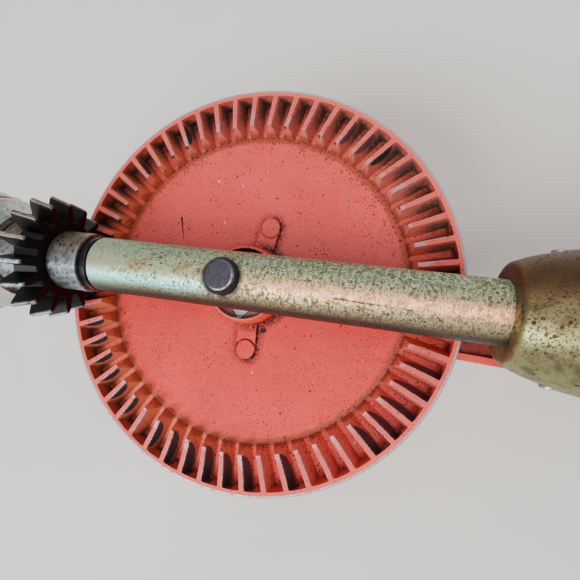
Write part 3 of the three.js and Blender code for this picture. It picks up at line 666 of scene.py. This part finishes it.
def plated_tube():
    """Dull yellow zinc plate: greenish above, with a painted pink highlight in the middle and a painted
    cyan highlight on the left, painted shade below, and pitted.
    """
    g = Graph("plated_tube", AXLE)
    arc_place = g.times(g.math("ARCTAN2", g.y, g.z), TUBE_RADIUS)
    skin = g.join(g.x, arc_place)
    hooped = g.join(g.x, g.times(arc_place, 0.35))
    cloud = g.grain(0.12, 3.0, 0.55, skin)
    blotch = g.grain(0.45, 4.0, 0.62, skin)
    fine = g.grain(1.9, 4.0, 0.68, skin)
    hoops = g.grain(1.5, 3.0, 0.7, hooped)
    rearward = g.ramp(g.x, -18.0, 14.0)

    g.colour = g.mix(rearward, tone(178, 186, 150), tone(200, 178, 136))
    tan = g.times(g.ramp(cloud, 0.46, 0.6), g.ramp(g.away(g.x, -8.0), 24.0, 8.0))
    g.cover(tone(172, 142, 100), tan, 0.8)
    upper = g.ramp(arc_place, 0.0, 3.6)
    g.cover(g.mix(rearward, tone(184, 200, 164), tone(210, 224, 176)), upper, 0.85)
    # Painted shade: the tube's underside is dark.
    shade_below = g.ramp(arc_place, -3.4, -6.8)
    g.cover(tone(50, 49, 48), shade_below, 0.95)
    # Painted highlight: a peach-pink band along the tube's right part.
    pink_highlight = g.times(g.ramp(g.away(arc_place, -0.9), 2.2, 0.5), g.ramp(g.x, -2.0, 14.0))
    g.cover(tone(255, 194, 150), pink_highlight, 0.85)
    # Painted highlight: a cyan band lower on the tube's left part.
    cyan_highlight = g.times(g.ramp(g.away(arc_place, -3.0), 2.2, 0.5), g.ramp(g.x, 10.0, -12.0))
    g.cover(tone(144, 216, 206), cyan_highlight, 0.8)

    small = g.ramp(g.plus(fine, g.times(upper, 0.03)), 0.56, 0.66)
    dots = [g.spots(*dot, skin) for dot in ((1.5, 0.65, 0.4), (2.7, 0.7, 0.44), (0.9, 0.4, 0.26))]
    streaks = g.ramp(hoops, 0.5, 0.62)
    speckled = g.either(g.times(small, 0.85), *dots, g.times(streaks, g.blend(rearward, 0.3, 0.9)))
    shaded = g.ramp(g.away(arc_place, -1.4), 1.0, 5.0, 0.0, 0.16)
    dense = g.ramp(g.plus(blotch, g.plus(g.times(rearward, 0.06), shaded)), 0.44, 0.62)
    clean = g.ramp(g.x, -16.0, -30.0, 1.0, 0.4)
    pits = g.times(speckled, g.blend(dense, 0.35, 1.0), clean, g.blend(pink_highlight, 0.92, 0.5))
    big = g.spots(0.22, 0.4, 0.09, skin)
    soft = g.times(g.ramp(g.grain(1.0, 2.0, 0.6, skin), 0.47, 0.57), upper, g.blend(rearward, 0.5, 1.0))
    from_row = g.away(g.plus(arc_place, g.times(g.x, 0.03)), -0.95)
    row = g.ramp(g.minus(from_row, g.times(g.grain(1.1, 3.0, 0.6), 1.1)), -0.38, -0.52)
    row = g.times(row, g.ramp(g.away(g.x, 31.0), 9.6, 7.0), 0.9)
    stains = g.times(g.ramp(g.grain(0.5, 2.0, 0.5, skin), 0.6, 0.68), g.ramp(g.x, 0.0, -12.0), 0.5)
    collar = g.times(g.ramp(g.size(g.x, g.y), PIN_RADIUS + 1.3, PIN_RADIUS + 0.3), g.ramp(g.z, 0.0, 1.0))
    collar = g.times(collar, g.ramp(blotch, 0.3, 0.5), 0.9)
    pits = g.either(pits, big, stains, g.times(soft, 0.68), row, collar)
    g.cover(g.mix(upper, tone(66, 46, 34), tone(46, 50, 50)), pits)

    roughness = g.plus(0.3, g.times(fine, 0.24))
    roughness = g.blend(pits, roughness, 0.7)
    relief = g.minus(g.times(fine, 0.05), g.times(pits, 0.1))
    return g.done(roughness, g.blend(pits, 0.92, 0.25), relief)


def plated_ferrule():
    g = Graph("plated_ferrule", AXLE)
    blotch = g.grain(0.35, 4.0, 0.6)
    fine = g.grain(2.0, 3.0, 0.6)
    upper = g.ramp(g.y, -4.0, 5.0)
    # Painted shade: the ferrule is dark brown on its upper side and olive below.
    g.colour = g.mix(upper, tone(142, 138, 94), tone(98, 72, 48))
    g.cover(tone(84, 62, 42), g.ramp(blotch, 0.4, 0.65), 0.7)
    pits = g.times(g.spots(1.2, 0.5, 0.32), g.ramp(blotch, 0.36, 0.56))
    pits = g.either(pits, g.times(g.ramp(g.grain(2.4, 3.0, 0.65), 0.54, 0.64), 0.6))
    g.cover(tone(44, 32, 26), pits)
    roughness = g.blend(pits, g.plus(0.3, g.times(fine, 0.2)), 0.8)
    relief = g.minus(g.times(fine, 0.02), g.times(pits, 0.08))
    return g.done(roughness, g.blend(pits, 0.9, 0.2), relief)


def steel(name, colour, stain, roughness, marks=0.5, origin=AXLE):
    """Worn steel with stains, specks and fine scratches."""
    g = Graph(name, origin)
    cloud = g.grain(0.3, 4.0, 0.6)
    fine = g.grain(3.0, 3.0, 0.6)
    scratch = g.grain(1.5, 3.0, 0.6, g.join(g.times(g.x, 0.3), g.times(g.y, 3.0), g.times(g.z, 3.0)))
    g.colour = g.mix(g.times(g.ramp(cloud, 0.42, 0.66), marks), colour, stain)
    specks = g.times(g.spots(1.1, 0.3, 0.22), marks)
    g.cover(tone(36, 30, 28), specks)
    rough = g.plus(roughness, g.times(g.minus(scratch, 0.5), 0.25))
    relief = g.plus(g.times(fine, 0.012), g.times(scratch, 0.01))
    return g.done(g.blend(specks, rough, 0.75), g.blend(specks, 0.95, 0.4), relief)


def pin_steel():
    """Black steel, rubbed bright along one side of the head's edge, partly as a painted highlight, with a
    painted bluish highlight on the rim.
    """
    g = Graph("pin_steel", GEAR)
    radius = g.size(g.x, g.y)
    ragged = g.grain(1.3, 4.0, 0.6)
    fine = g.grain(4.0, 3.0, 0.6)
    near_edge = g.ramp(g.away(radius, PIN_RADIUS - 0.95), 0.24, 0.06)
    rubbed = g.times(near_edge, g.ramp(g.z, PIN_TOP - 0.6, PIN_TOP - 0.1), g.ramp(ragged, 0.34, 0.56))
    g.colour = g.mix(g.ramp(ragged, 0.35, 0.7), tone(70, 64, 76), tone(52, 48, 56))
    aslant = g.ramp(radius, PIN_RADIUS - 0.9, PIN_RADIUS - 0.7)
    g.cover(tone(34, 32, 36), aslant, 0.85)
    # Painted highlight: a bluish band round the head's edge on one side.
    blue_rim_highlight = g.ramp(g.away(radius, PIN_RADIUS - 0.75), 0.3, 0.1)
    g.cover(tone(96, 112, 134), blue_rim_highlight, g.ramp(g.plus(g.x, g.y), 0.5, 3.5), 0.8)
    g.cover(tone(34, 30, 34), g.spots(2.4, 0.5, 0.3), 0.7)
    # Worn bright edge on one side of the head's top, partly a painted highlight.
    g.cover(tone(214, 190, 190), rubbed, g.ramp(g.minus(g.x, g.y), 0.5, 3.0), 0.9)
    relief = g.plus(g.times(fine, 0.02), g.times(ragged, 0.04))
    return g.done(g.plus(0.4, g.times(fine, 0.2)), 0.6, relief)


def oily_steel():
    """Pinion steel: dark and greasy between the teeth, bright on their tips."""
    g = Graph("oily_steel", AXLE)
    radius = g.size(g.y, g.z)
    tip = g.times(g.x, -PINION_TIP / TOOTH_MID)
    below = g.minus(tip, radius)
    ragged = g.grain(0.9, 4.0, 0.6)
    fine = g.grain(3.0, 3.0, 0.6)
    toothed = g.times(g.ramp(g.x, -42.2, -42.5), g.ramp(g.x, -48.5, -48.2))
    g.colour = g.mix(g.ramp(g.y, -2.0, 4.0), tone(142, 148, 156), tone(128, 116, 104))
    g.cover(tone(84, 72, 62), g.ramp(ragged, 0.45, 0.65), 0.8)
    grease = g.times(toothed, g.ramp(below, 0.1, 0.7), g.ramp(ragged, 0.1, 0.3))
    g.cover(tone(30, 27, 27), grease)
    blackened = g.times(g.spots(1.0, 0.4, 0.3), 0.8)
    g.cover(tone(26, 22, 22), blackened)
    relief = g.plus(g.times(fine, 0.02), g.times(ragged, 0.06))
    return g.done(g.blend(grease, g.plus(0.3, g.times(fine, 0.2)), 0.45), 0.85, relief)


# ---------- wood ----------


def wood(name, origin, axis):
    """Varnished hardwood, its grain along one axis."""
    g = Graph(name, origin)
    along, across, up = (g.x, g.y, g.z) if axis == X else (g.z, g.x, g.y)

    def stretched(share):
        return g.join(g.times(along, share), across, up)

    wander = g.grain(0.12, 3.0, 0.5, stretched(0.05))
    rings = g.math("SINE", g.times(g.plus(g.plus(across, 6.0), g.times(wander, 22.0)), 1.7))
    fibre = g.grain(1.6, 4.0, 0.65, stretched(0.04))
    pores = g.ramp(g.grain(3.4, 2.0, 0.6, stretched(0.06)), 0.6, 0.7)
    g.colour = g.mix(g.ramp(rings, -0.9, 0.9), tone(128, 66, 32), tone(92, 42, 20))
    g.cover(tone(72, 32, 16), g.ramp(fibre, 0.4, 0.65), 0.5)
    g.cover(tone(40, 20, 12), pores, 0.7)
    worn = g.ramp(g.grain(0.06, 4.0, 0.6), 0.54, 0.66)
    g.cover(tone(168, 112, 68), worn, 0.45)
    g.cover(tone(36, 20, 14), g.spots(0.5, 0.2, 0.16), 0.8)
    roughness = g.blend(worn, g.plus(0.26, g.times(fibre, 0.18)), 0.6)
    relief = g.minus(g.times(fibre, 0.04), g.times(pores, 0.06))
    g.feed(g.shader, {"Coat Weight": 0.35, "Coat Roughness": 0.25})
    return g.done(roughness, 0.0, relief)


GEAR_PAINT = gear_paint()
ARM_PAINT = arm_paint()
TUBE_PLATE = plated_tube()
FERRULE_PLATE = plated_ferrule()
PIN_STEEL = pin_steel()
BLACK_STEEL = steel("black_steel", tone(44, 41, 44), tone(30, 26, 26), 0.36)
BRIGHT_STEEL = steel("bright_steel", tone(186, 186, 188), tone(128, 112, 96), 0.32)
OILY_STEEL = oily_steel()
CHUCK_STEEL = steel("chuck_steel", tone(190, 190, 190), tone(140, 132, 122), 0.26, 0.7, CHUCK)
JAW_STEEL = steel("jaw_steel", tone(110, 110, 114), tone(72, 66, 62), 0.34, 0.8, CHUCK)
BRONZE = steel("bearing_bronze", tone(176, 128, 70), tone(110, 78, 44), 0.36)
GRIP_WOOD = wood("grip_wood", AXLE, X)
KNOB_WOOD = wood("knob_wood", KNOB, Z)

# ---------- drive gear ----------


def smooth_least(a, b, width):
    """The lesser of two numbers, with a smooth change between them."""
    h = min(max(0.5 + 0.5 * (b - a) / width, 0.0), 1.0)
    return b + (a - b) * h - width * h * (1 - h)


def smooth_most(a, b, width):
    return -smooth_least(-a, -b, width)


def within_teeth(r):
    return min(max(r, TOOTH_FOOT_START), RIM_INNER)


def floor_height(r):
    share = (within_teeth(r) - TOOTH_FOOT_START) / (RIM_INNER - TOOTH_FOOT_START)
    return DISC + (FLOOR_END - DISC) * share


def tooth_top(r):
    """Height of a tooth's top, or of its inner end face, at a radius."""
    top = (RIM_INNER - within_teeth(r)) * TOP_SLOPE
    inner_top = (RIM_INNER - TOOTH_TOP_START) * TOP_SLOPE
    rise = (inner_top - DISC) / (TOOTH_TOP_START - TOOTH_FOOT_START)
    return smooth_least(top, DISC + (r - TOOTH_FOOT_START) * rise, 0.3)


def tooth_sides(r):
    """Offsets from a tooth's middle to the lines that draw its section, one side."""
    r = within_teeth(r)
    swell = r / TOOTH_MID
    land = LAND * swell
    depth = (RIM_INNER - r) * TOP_SLOPE - floor_height(r)
    foot = (LAND + depth * FLANK) * swell
    third = (foot - 0.2 - land) / 3
    return [land - 0.16, land - 0.05, land + 0.05, land + third, land + 2 * third, foot - 0.2,
            foot, foot + 0.22]


def tooth_turns(r):
    """The angles of one tooth step's columns, from its middle, at a radius."""
    r = within_teeth(r)
    sides = [side / r for side in tooth_sides(r)]
    return [-side for side in reversed(sides)] + [0.0] + sides + [TOOTH_STEP / 2]


def toothed_height(r, aside, index):
    """Height of the toothed ring at a radius, aside from a tooth's middle."""
    flank_top = (RIM_INNER - within_teeth(r)) * TOP_SLOPE
    slope = flank_top - (aside * TOOTH_MID / r - LAND) / FLANK
    low = floor_height(r)
    height = smooth_least(tooth_top(r), smooth_most(slope, low, 0.2), 0.12)
    height = max(height, low)
    bite = noise.noise(Vector((index * 3.7, r * 0.55, aside)))
    return height - 0.07 * max(0.0, bite) if height > low + 0.3 else height


def gear_rows():
    """The gear's outline as rows of (radius, height function), from bore to bore."""
    def plain(r, z):
        return lambda aside, index, turn: (r, z)

    def disc(r):
        def point(aside, index, turn):
            wave = noise.noise(Vector((r * math.cos(turn), r * math.sin(turn), 0.0)) * 0.07)
            return r, DISC + 0.06 * wave
        return point

    def teeth(r):
        return lambda aside, index, turn: (r, toothed_height(r, aside, index))

    def wall(r, rise):
        def point(aside, index, turn):
            return r, smooth_least(toothed_height(RIM_INNER, aside, index) + rise, 0.0, 0.1)
        return point

    def square(z):
        def point(aside, index, turn):
            turn -= ARM_ANGLE
            return min(KEY / max(abs(math.cos(turn)), abs(math.sin(turn))), KEY_CORNER), z
        return point

    inner = rounded([(GEAR_BORE, -4.0), (GEAR_BORE, HUB_FLOOR), (HUB_RECESS, HUB_FLOOR),
                     (HUB_RECESS, HUB_TOP), (HUB_RADIUS, HUB_TOP), (HUB_FOOT, DISC), (11.5, DISC)], 0.3)
    rows = [(p[0], plain(*p)) for p in inner]
    rows += [(r, disc(r)) for r in (13.0, 16.0, 19.0, 22.0, 25.0, 28.0, 31.0, 34.0, 36.5)]
    rows += [(38.3, plain(38.3, DISC)), (38.7, plain(38.7, DISC - 0.05))]
    stations = [TOOTH_FOOT_START + step for step in (0.0, 0.1, 0.35, 0.6, 0.85, 1.1)]
    stations += [TOOTH_TOP_START + step for step in (-0.08, 0.06, 0.2, 0.5)]
    stations += [41.4, 42.3, 43.2, 44.1, 45.0, 45.9, 46.8, 47.7, 48.5, 49.0]
    rows += [(r, teeth(r)) for r in stations]
    for out, rise in ((-0.06, 0.06), (0.0, 0.3), (0.02, 1.6), (0.04, 3.2), (0.08, 5.0)):
        rows.append((RIM_INNER + out, wall(RIM_INNER + out, rise)))
    outer = rounded([(RIM_INNER + 0.3, 0.0), (GEAR_RADIUS, 0.0), (GEAR_RADIUS, RIM_BACK),
                     (39.5, RIM_BACK), (36.0, WEB_BACK), (HUB_BACK_RADIUS, WEB_BACK),
                     (HUB_BACK_RADIUS, HUB_BACK), (KEY_CORNER + 0.3, HUB_BACK)], 0.45)
    rows += [(p[0], plain(*p)) for p in outer]
    rows += [(KEY, square(HUB_BACK)), (KEY, square(KEY_BACK)), (GEAR_BORE, plain(GEAR_BORE, KEY_BACK))]
    return rows


def gear_skin():
    loops = []
    for r, point in gear_rows():
        turns = tooth_turns(r)
        loop = []
        for index in range(TEETH):
            middle = index * TOOTH_STEP
            for offset in turns:
                turn = middle + offset
                radius, height = point(abs(offset) * within_teeth(r), index, turn)
                loop.append((radius * math.cos(turn), radius * math.sin(turn), height))
        loops.append(loop)
    return loft(loops, closed_along=True)


def disc_bar(angle, bar_reach):
    """A low bar with a round end, and the thin round mark that stands on it."""
    end = (bar_reach, 0.0)
    outline = [(HUB_RADIUS - 1, -BAR_HALF)] + arc(end, BAR_HALF, -90, 90, 32) + [(HUB_RADIUS - 1, BAR_HALF)]
    bar = applied(bevelled(extruded("bar", outline, DISC - 0.6, BAR_TOP, GEAR), 0.16, angle=40))
    mark_radius = BAR_HALF - 0.02
    profile = rounded([(DISC - 0.4, 0.0), (DISC - 0.4, mark_radius), (BAR_TOP + 0.15, mark_radius),
                       (BAR_TOP + 0.15, 0.0)], 0.2)
    mark = turned("mark", profile, Z, beside(GEAR, bar_reach), 48)
    return spun(combined(bar, mark, "UNION"), angle)


def drive_gear():
    gear = finish_mesh("drive_gear_body", gear_skin(), GEAR)
    for angle, bar_reach in BARS:
        gear = combined(gear, disc_bar(angle, bar_reach), "UNION")
    settle(gear, GEAR_PAINT, "crank", "drive_gear", 42)


# ---------- frame ----------


def frame_tube():
    low, high = TUBE_FRONT, TUBE_REAR
    profile = rounded([(low, TUBE_BORE), (low, TUBE_RADIUS), (high, TUBE_RADIUS), (high, TUBE_BORE)],
                      0.35, closed=True)
    tube = turned("frame_tube_body", profile, X, AXLE, 192, ring=True)
    tube = without(tube, rod(Z, PIN_RADIUS + 0.06, -20, 20, AXLE, segments=96))
    tube = without(tube, handle_pin_hole())
    settle(tube, TUBE_PLATE, "frame", "frame_tube")


def axle_pin():
    low, top = reach("axle_pin", Z, GEAR)
    neck = 2.8
    groove = reach("axle_clip", Z, GEAR)
    profile = rounded([(low, 0.0), (low, neck), (groove[0] - 0.1, neck), (groove[0] - 0.1, 2.1),
                       (groove[1] + 0.1, 2.1), (groove[1] + 0.1, neck), (-14.45, neck),
                       (-14.45, PIN_RADIUS)], 0.15)
    profile += rounded([(0.0, PIN_RADIUS), (top - 1.1, PIN_RADIUS), (top - 0.05, PIN_RADIUS - 0.9),
                        (top, 1.8), (top - 0.02, 0.0)], 0.3)
    pin = turned("axle_pin_body", profile, Z, GEAR)
    settle(pin, PIN_STEEL, "frame", "axle_pin")


def ring_piece(node, axis, origin, inner, material, body, rounding=0.2):
    """A plain turned ring that fills a CAD ring's box."""
    low, high = reach(node, axis, origin)
    outer = reach(node, Z if axis == X else X, origin)[1]
    profile = rounded([(low, inner), (low, outer), (high, outer), (high, inner)], rounding, closed=True)
    piece = turned(node + "_body", profile, axis, origin, ring=True)
    settle(piece, material, body, node)


def handle_ferrule():
    front, rear = reach("handle_ferrule", X, AXLE)
    neck = TUBE_RADIUS + 0.04
    outside = rounded([(front, neck), (front, 9.6), (front + 1.6, 10.3), (58.5, 11.3), (64.0, 12.8),
                       (rear - 0.8, 13.85)], 0.9)
    lip = rounded([(rear - 0.8, 13.85), (rear, 13.9), (rear, 12.7), (64.0, 11.6)], 0.35)
    inside = rounded([(64.0, 11.6), (58.5, 10.1), (front + 1.6, 8.9), (front + 1.6, neck)], 0.3)
    ferrule = turned("handle_ferrule_body", outside + lip[1:] + inside[1:], X, AXLE, 128, ring=True)
    ferrule = without(ferrule, handle_pin_hole())
    settle(ferrule, FERRULE_PLATE, "frame", "handle_ferrule")


def handle_grip():
    front, butt = reach("handle_grip", X, AXLE)
    bore = TUBE_RADIUS + 0.1
    inside = [(115.0, 0.0), (115.0, bore), (front, bore), (front, 8.5)]
    tenon = [(58.8, 9.8), (64.3, 11.3), (72.3, 12.4)]
    swell = rounded([(72.3, 12.4), (72.3, 14.2), (74.6, 14.7), (80, 15.3), (100, 16.7), (120, 17.0),
                     (136, 16.3), (148, 14.6), (155, 12.4), (159, 9.6), (butt, 7.6), (butt, 0.0)])
    grip = turned("handle_grip_body", inside + tenon + swell, X, AXLE)
    grip = without(grip, handle_pin_hole())
    settle(grip, GRIP_WOOD, "frame", "handle_grip")


def handle_pin():
    low, high = reach("handle_pin", Y, AXLE)
    profile = rounded([(low, 0.0), (low, 1.5), (high, 1.5), (high, 0.0)], 0.4)
    pin = turned("handle_pin_body", profile, Y, HANDLE_PIN, 32)
    settle(pin, BRIGHT_STEEL, "frame", "handle_pin")


# ---------- pinion ----------

PINION_TEETH = 16
PINION_REAR_TEETH = -42.6
# A tooth at TOOTH_MID as (radius, half thickness). It grows with its distance from the gear axle.
PINION_SECTION = [(9.7, 1.1), (11.0, 0.93), (12.2, 0.76), (13.2, 0.6), (PINION_TIP, 0.43)]


def pinion_loop(x, cut):
    """The toothed outline at x, a space straight down, its tips and roots cut a little."""
    growth = -x / TOOTH_MID
    tip, root = PINION_SECTION[-1][0] - cut, PINION_SECTION[0][0] - cut
    half = [(min(r, tip), w) for r, w in PINION_SECTION[1:]]
    corners = [(r, -w) for r, w in half] + [(r, w) for r, w in reversed(half)]
    tooth = rounded([(root, -1.55), (root, -1.1)] + corners + [(root, 1.1), (root, 1.55)], 0.2, 3)
    loop = []
    for i in range(PINION_TEETH):
        turn = 2 * math.pi * (i + 0.5) / PINION_TEETH - math.pi / 2
        for r, w in tooth:
            angle = turn + math.asin(w / r)
            loop.append((x, r * growth * math.cos(angle), r * growth * math.sin(angle)))
    return loop


def pinion():
    front, rear = reach("pinion", X, AXLE)
    tooth_front = -48.1
    stations = [(tooth_front, 0.5), (tooth_front + 0.12, 0.2), (tooth_front + 0.4, 0.0),
                (PINION_REAR_TEETH - 0.4, 0.0), (PINION_REAR_TEETH - 0.12, 0.2), (PINION_REAR_TEETH, 0.5)]
    skin = loft([pinion_loop(*station) for station in stations])
    teeth = finish_mesh("pinion_body", skin, AXLE)
    hub = rounded([(front, 0.0), (front, 9.0), (tooth_front + 1, 9.0), (PINION_REAR_TEETH - 1, 7.0),
                   (rear, 7.0), (rear, 0.0)], 0.4)
    piece = combined(teeth, turned("hub", hub, X, AXLE), "UNION")
    piece = without(piece, rod(X, SPINDLE_HOLE, -80, 0, AXLE))
    pin = beside(AXLE, sum(reach("pinion_pin", X, AXLE)) / 2)
    piece = without(piece, rod(Y, 1.26, -20, 20, pin, 32))
    settle(piece, OILY_STEEL, "spindle", "pinion")


# ---------- crank ----------

ARM_LOW, ARM_TOP = reach("crank_arm", Z, GEAR)
ARM_END = 9.0
ARM_HALF = 9.3
ARM_STRAIGHT = 62.0
ARM_FLANGE = 1.75
ARM_POCKET = 1.8


def arm_pocket(low, high):
    """The tool that sinks the panel between the arm's flanges."""
    wide = ARM_HALF - ARM_FLANGE
    narrow = ARM_END - ARM_FLANGE
    end = KNOB_X - ARM_END - 2
    half = [(HUB_BACK_RADIUS + 2, wide), (ARM_STRAIGHT, wide), (end, narrow)]
    outline = [(x, -y) for x, y in half] + [(x, y) for x, y in reversed(half)]
    return extruded("tool", rounded(outline, 1.6, 6, closed=True), low, high, GEAR)


def crank_arm():
    taper = math.degrees(math.atan2(ARM_HALF - ARM_END, KNOB_X - ARM_STRAIGHT))
    outline = [(0.0, -ARM_HALF), (ARM_STRAIGHT, -ARM_HALF)]
    outline += arc((KNOB_X, 0.0), ARM_END, taper - 90, 90 - taper, 48)
    outline += [(ARM_STRAIGHT, ARM_HALF), (0.0, ARM_HALF)]
    arm = extruded("crank_arm_body", outline, ARM_LOW, ARM_TOP, GEAR)
    arm = combined(arm, rod(Z, HUB_BACK_RADIUS, ARM_LOW, ARM_TOP, GEAR, segments=96), "UNION")
    arm = without(arm, arm_pocket(ARM_TOP - ARM_POCKET, ARM_TOP + 1))
    arm = without(arm, arm_pocket(ARM_LOW - 1, ARM_LOW + ARM_POCKET))
    side = KEY + 0.1
    square = [(-side, -side), (side, -side), (side, side), (-side, side)]
    arm = without(arm, extruded("tool", square, ARM_LOW - 1, ARM_TOP + 1, GEAR))
    arm = without(arm, rod(Z, 2.56, ARM_LOW - 1, ARM_TOP + 1, beside(GEAR, KNOB_X)))
    arm = spun(arm, ARM_ANGLE)
    settle(arm, ARM_PAINT, "crank", "crank_arm", 30, 0.45)


def knob_stud():
    low, high = reach("knob_stud", Z, GEAR)
    shank = 2.5
    foot = rounded([(low, 0.0), (low, 4.5), (low + 1.5, 4.5), (low + 1.5, shank), (low + 4, shank)], 0.3)
    head = rounded([(high - 1.6, shank), (high - 0.9, shank), (high - 0.9, 4.0), (high - 0.4, 3.6),
                    (high, 2.0), (high, 0.0)], 0.3)
    stud = turned("knob_stud_body", foot + head, Z, KNOB, 64)
    settle(stud, BRIGHT_STEEL, "crank", "knob_stud")


def crank_knob():
    low, high = reach("crank_knob", Z, KNOB)
    bore = 2.6
    inside = rounded([(high, bore), (low + 2.1, bore), (low + 2.1, 5.0), (low, 5.0), (low, 8.0)], 0.3)
    swell = rounded([(low, 8.0), (low, 8.6), (low + 1.6, 10.3), (low + 5, 11.4), (low + 10, 11.7),
                     (low + 17, 11.0), (low + 25, 9.5), (high - 6, 8.3), (high - 2.8, 8.1),
                     (high - 1.2, 8.8), (high, 8.8), (high, 7.6)])
    profile = inside + swell[1:]
    knob = turned("crank_knob_body", profile, Z, KNOB, 80, ring=True)
    settle(knob, KNOB_WOOD, "knob", "crank_knob")


# ---------- chuck ----------

FLUTES = 24


def fluted(along, radius, turn):
    """The sleeve's outside, cut by round flutes; its bore stays round."""
    if radius < 13.0:
        return radius
    wave = 0.5 + 0.5 * math.cos(turn * FLUTES)
    return min(radius, 15.0 - 0.6 * wave ** 1.5)


def chuck_sleeve():
    front, rear = reach("chuck_sleeve", X, CHUCK)
    bore = 12.35
    cone = rounded([(front, bore), (front, 13.2), (front + 5, 15.0), (rear - 1, 15.0), (rear, 14.2),
                    (rear, bore)], 0.3)
    sleeve = turned("chuck_sleeve_body", cone, X, CHUCK, 384, ring=True, shape=fluted)
    settle(sleeve, CHUCK_STEEL, "sleeve", "chuck_sleeve")


def chuck_body():
    nose = reach("chuck_body", X, CHUCK)[0]
    profile = rounded([(nose, 0.0), (nose, 7.1), (-35.7, 12.0), (-34.8, 12.3), (-7.5, 12.3),
                       (-7.5, 13.6), (-4.4, 13.6), (-2.2, 11.0), (0.0, 10.4), (0.0, 0.0)], 0.35)
    body = turned("chuck_body_body", profile, X, CHUCK, 128)
    body = without(body, rod(X, 3.4, -50, -20, CHUCK))
    body = without(body, rod(X, SPINDLE_HOLE, -12, 12, CHUCK))
    slope = math.radians(16)
    for i in range(3):
        hole = rod(X, 2.5, -30, 8, Vector((0.0, 0.0, 0.0)))
        lift = 1.7 + 42 * math.tan(slope)
        tilt = Matrix.Rotation(2 * math.pi * i / 3, 4, "X") @ Matrix.Translation((0, 0, lift * MM))
        tilt = tilt @ Matrix.Rotation(-slope, 4, "Y") @ Matrix.Translation((-20 * MM, 0, 0))
        hole.data.transform(Matrix.Translation(CHUCK) @ tilt)
        body = without(body, hole)
    settle(body, CHUCK_STEEL, "spindle", "chuck_body")


# ---------- pieces that keep their CAD shape ----------

KEPT = [
    (BRONZE, "front_bushing", "hub_bushing"),
    (BRIGHT_STEEL, "thrust_ball", "spindle", "pinion_pin"),
    (BLACK_STEEL, "axle_clip"),
    (CHUCK_STEEL, "chuck_nut_left", "chuck_nut_right"),
    (JAW_STEEL, "chuck_jaw_1", "chuck_jaw_2", "chuck_jaw_3"),
]


def dress_kept_nodes():
    for material, *names in KEPT:
        for name in names:
            node = frame["nodes"][name]
            for material_slot in node.material_slots:
                material_slot.material = material
            bevelled(node, 0.12, segments=2)


# ---------- stage ----------

def add_floor():
    g = Graph("floor", Vector((0.0, 0.0, 0.0)))
    g.colour = g.mix(g.ramp(g.grain(0.01, 3.0), 0.3, 0.7), tone(216, 212, 206), tone(222, 219, 214))
    material = g.done(0.6)
    skin = bmesh.new()
    half = 3000
    corners = [(-half, -half), (half, -half), (half, half), (-half, half)]
    skin.faces.new([skin.verts.new((x, y, 0)) for x, y in corners])
    floor = finish_mesh("floor", skin, Vector((GEAR.x, 0.0, cad_bounds[0][2])))
    floor.data.materials.append(material)


def add_light(name, offset, size, power, colour):
    """A soft round light that shines on the gear, placed in metres from it."""
    data = bpy.data.lights.new(name, "AREA")
    data.shape = "DISK"
    data.size = size
    data.energy = power
    data.color = colour
    light = bpy.data.objects.new(name, data)
    light.location = GEAR + Vector(offset)
    light.rotation_euler = Vector(offset).to_track_quat("Z", "Y").to_euler()
    bpy.context.scene.collection.objects.link(light)


def add_lights():
    add_light("key", (-0.5, -0.8, 1.05), 0.8, 22.0, (0.95, 1.0, 0.985))
    add_light("front", (0.26, -0.22, 1.0), 0.3, 4.0, (1.0, 0.8, 0.68))
    add_light("top", (-0.2, 0.5, 1.0), 1.0, 4.0, (1.0, 1.0, 1.0))
    world = bpy.data.worlds.new("studio")
    world.use_nodes = True
    background = world.node_tree.nodes["Background"]
    background.inputs["Color"].default_value = (0.9, 0.95, 1.0, 1.0)
    background.inputs["Strength"].default_value = 0.55
    bpy.context.scene.world = world


# ---------- assembly ----------

drive_gear()
frame_tube()
axle_pin()
ring_piece("thrust_washer", X, AXLE, 4.4, BLACK_STEEL, "frame", 0.35)
ring_piece("axle_spacer", Z, GEAR, 3.6, BLACK_STEEL, "frame")
ring_piece("axle_washer", Z, GEAR, 3.1, BRIGHT_STEEL, "frame")
ring_piece("knob_washer", Z, KNOB, 2.8, BRIGHT_STEEL, "crank")
handle_ferrule()
handle_grip()
handle_pin()
pinion()
crank_arm()
knob_stud()
crank_knob()
chuck_sleeve()
chuck_body()
dress_kept_nodes()
add_floor()
add_lights()
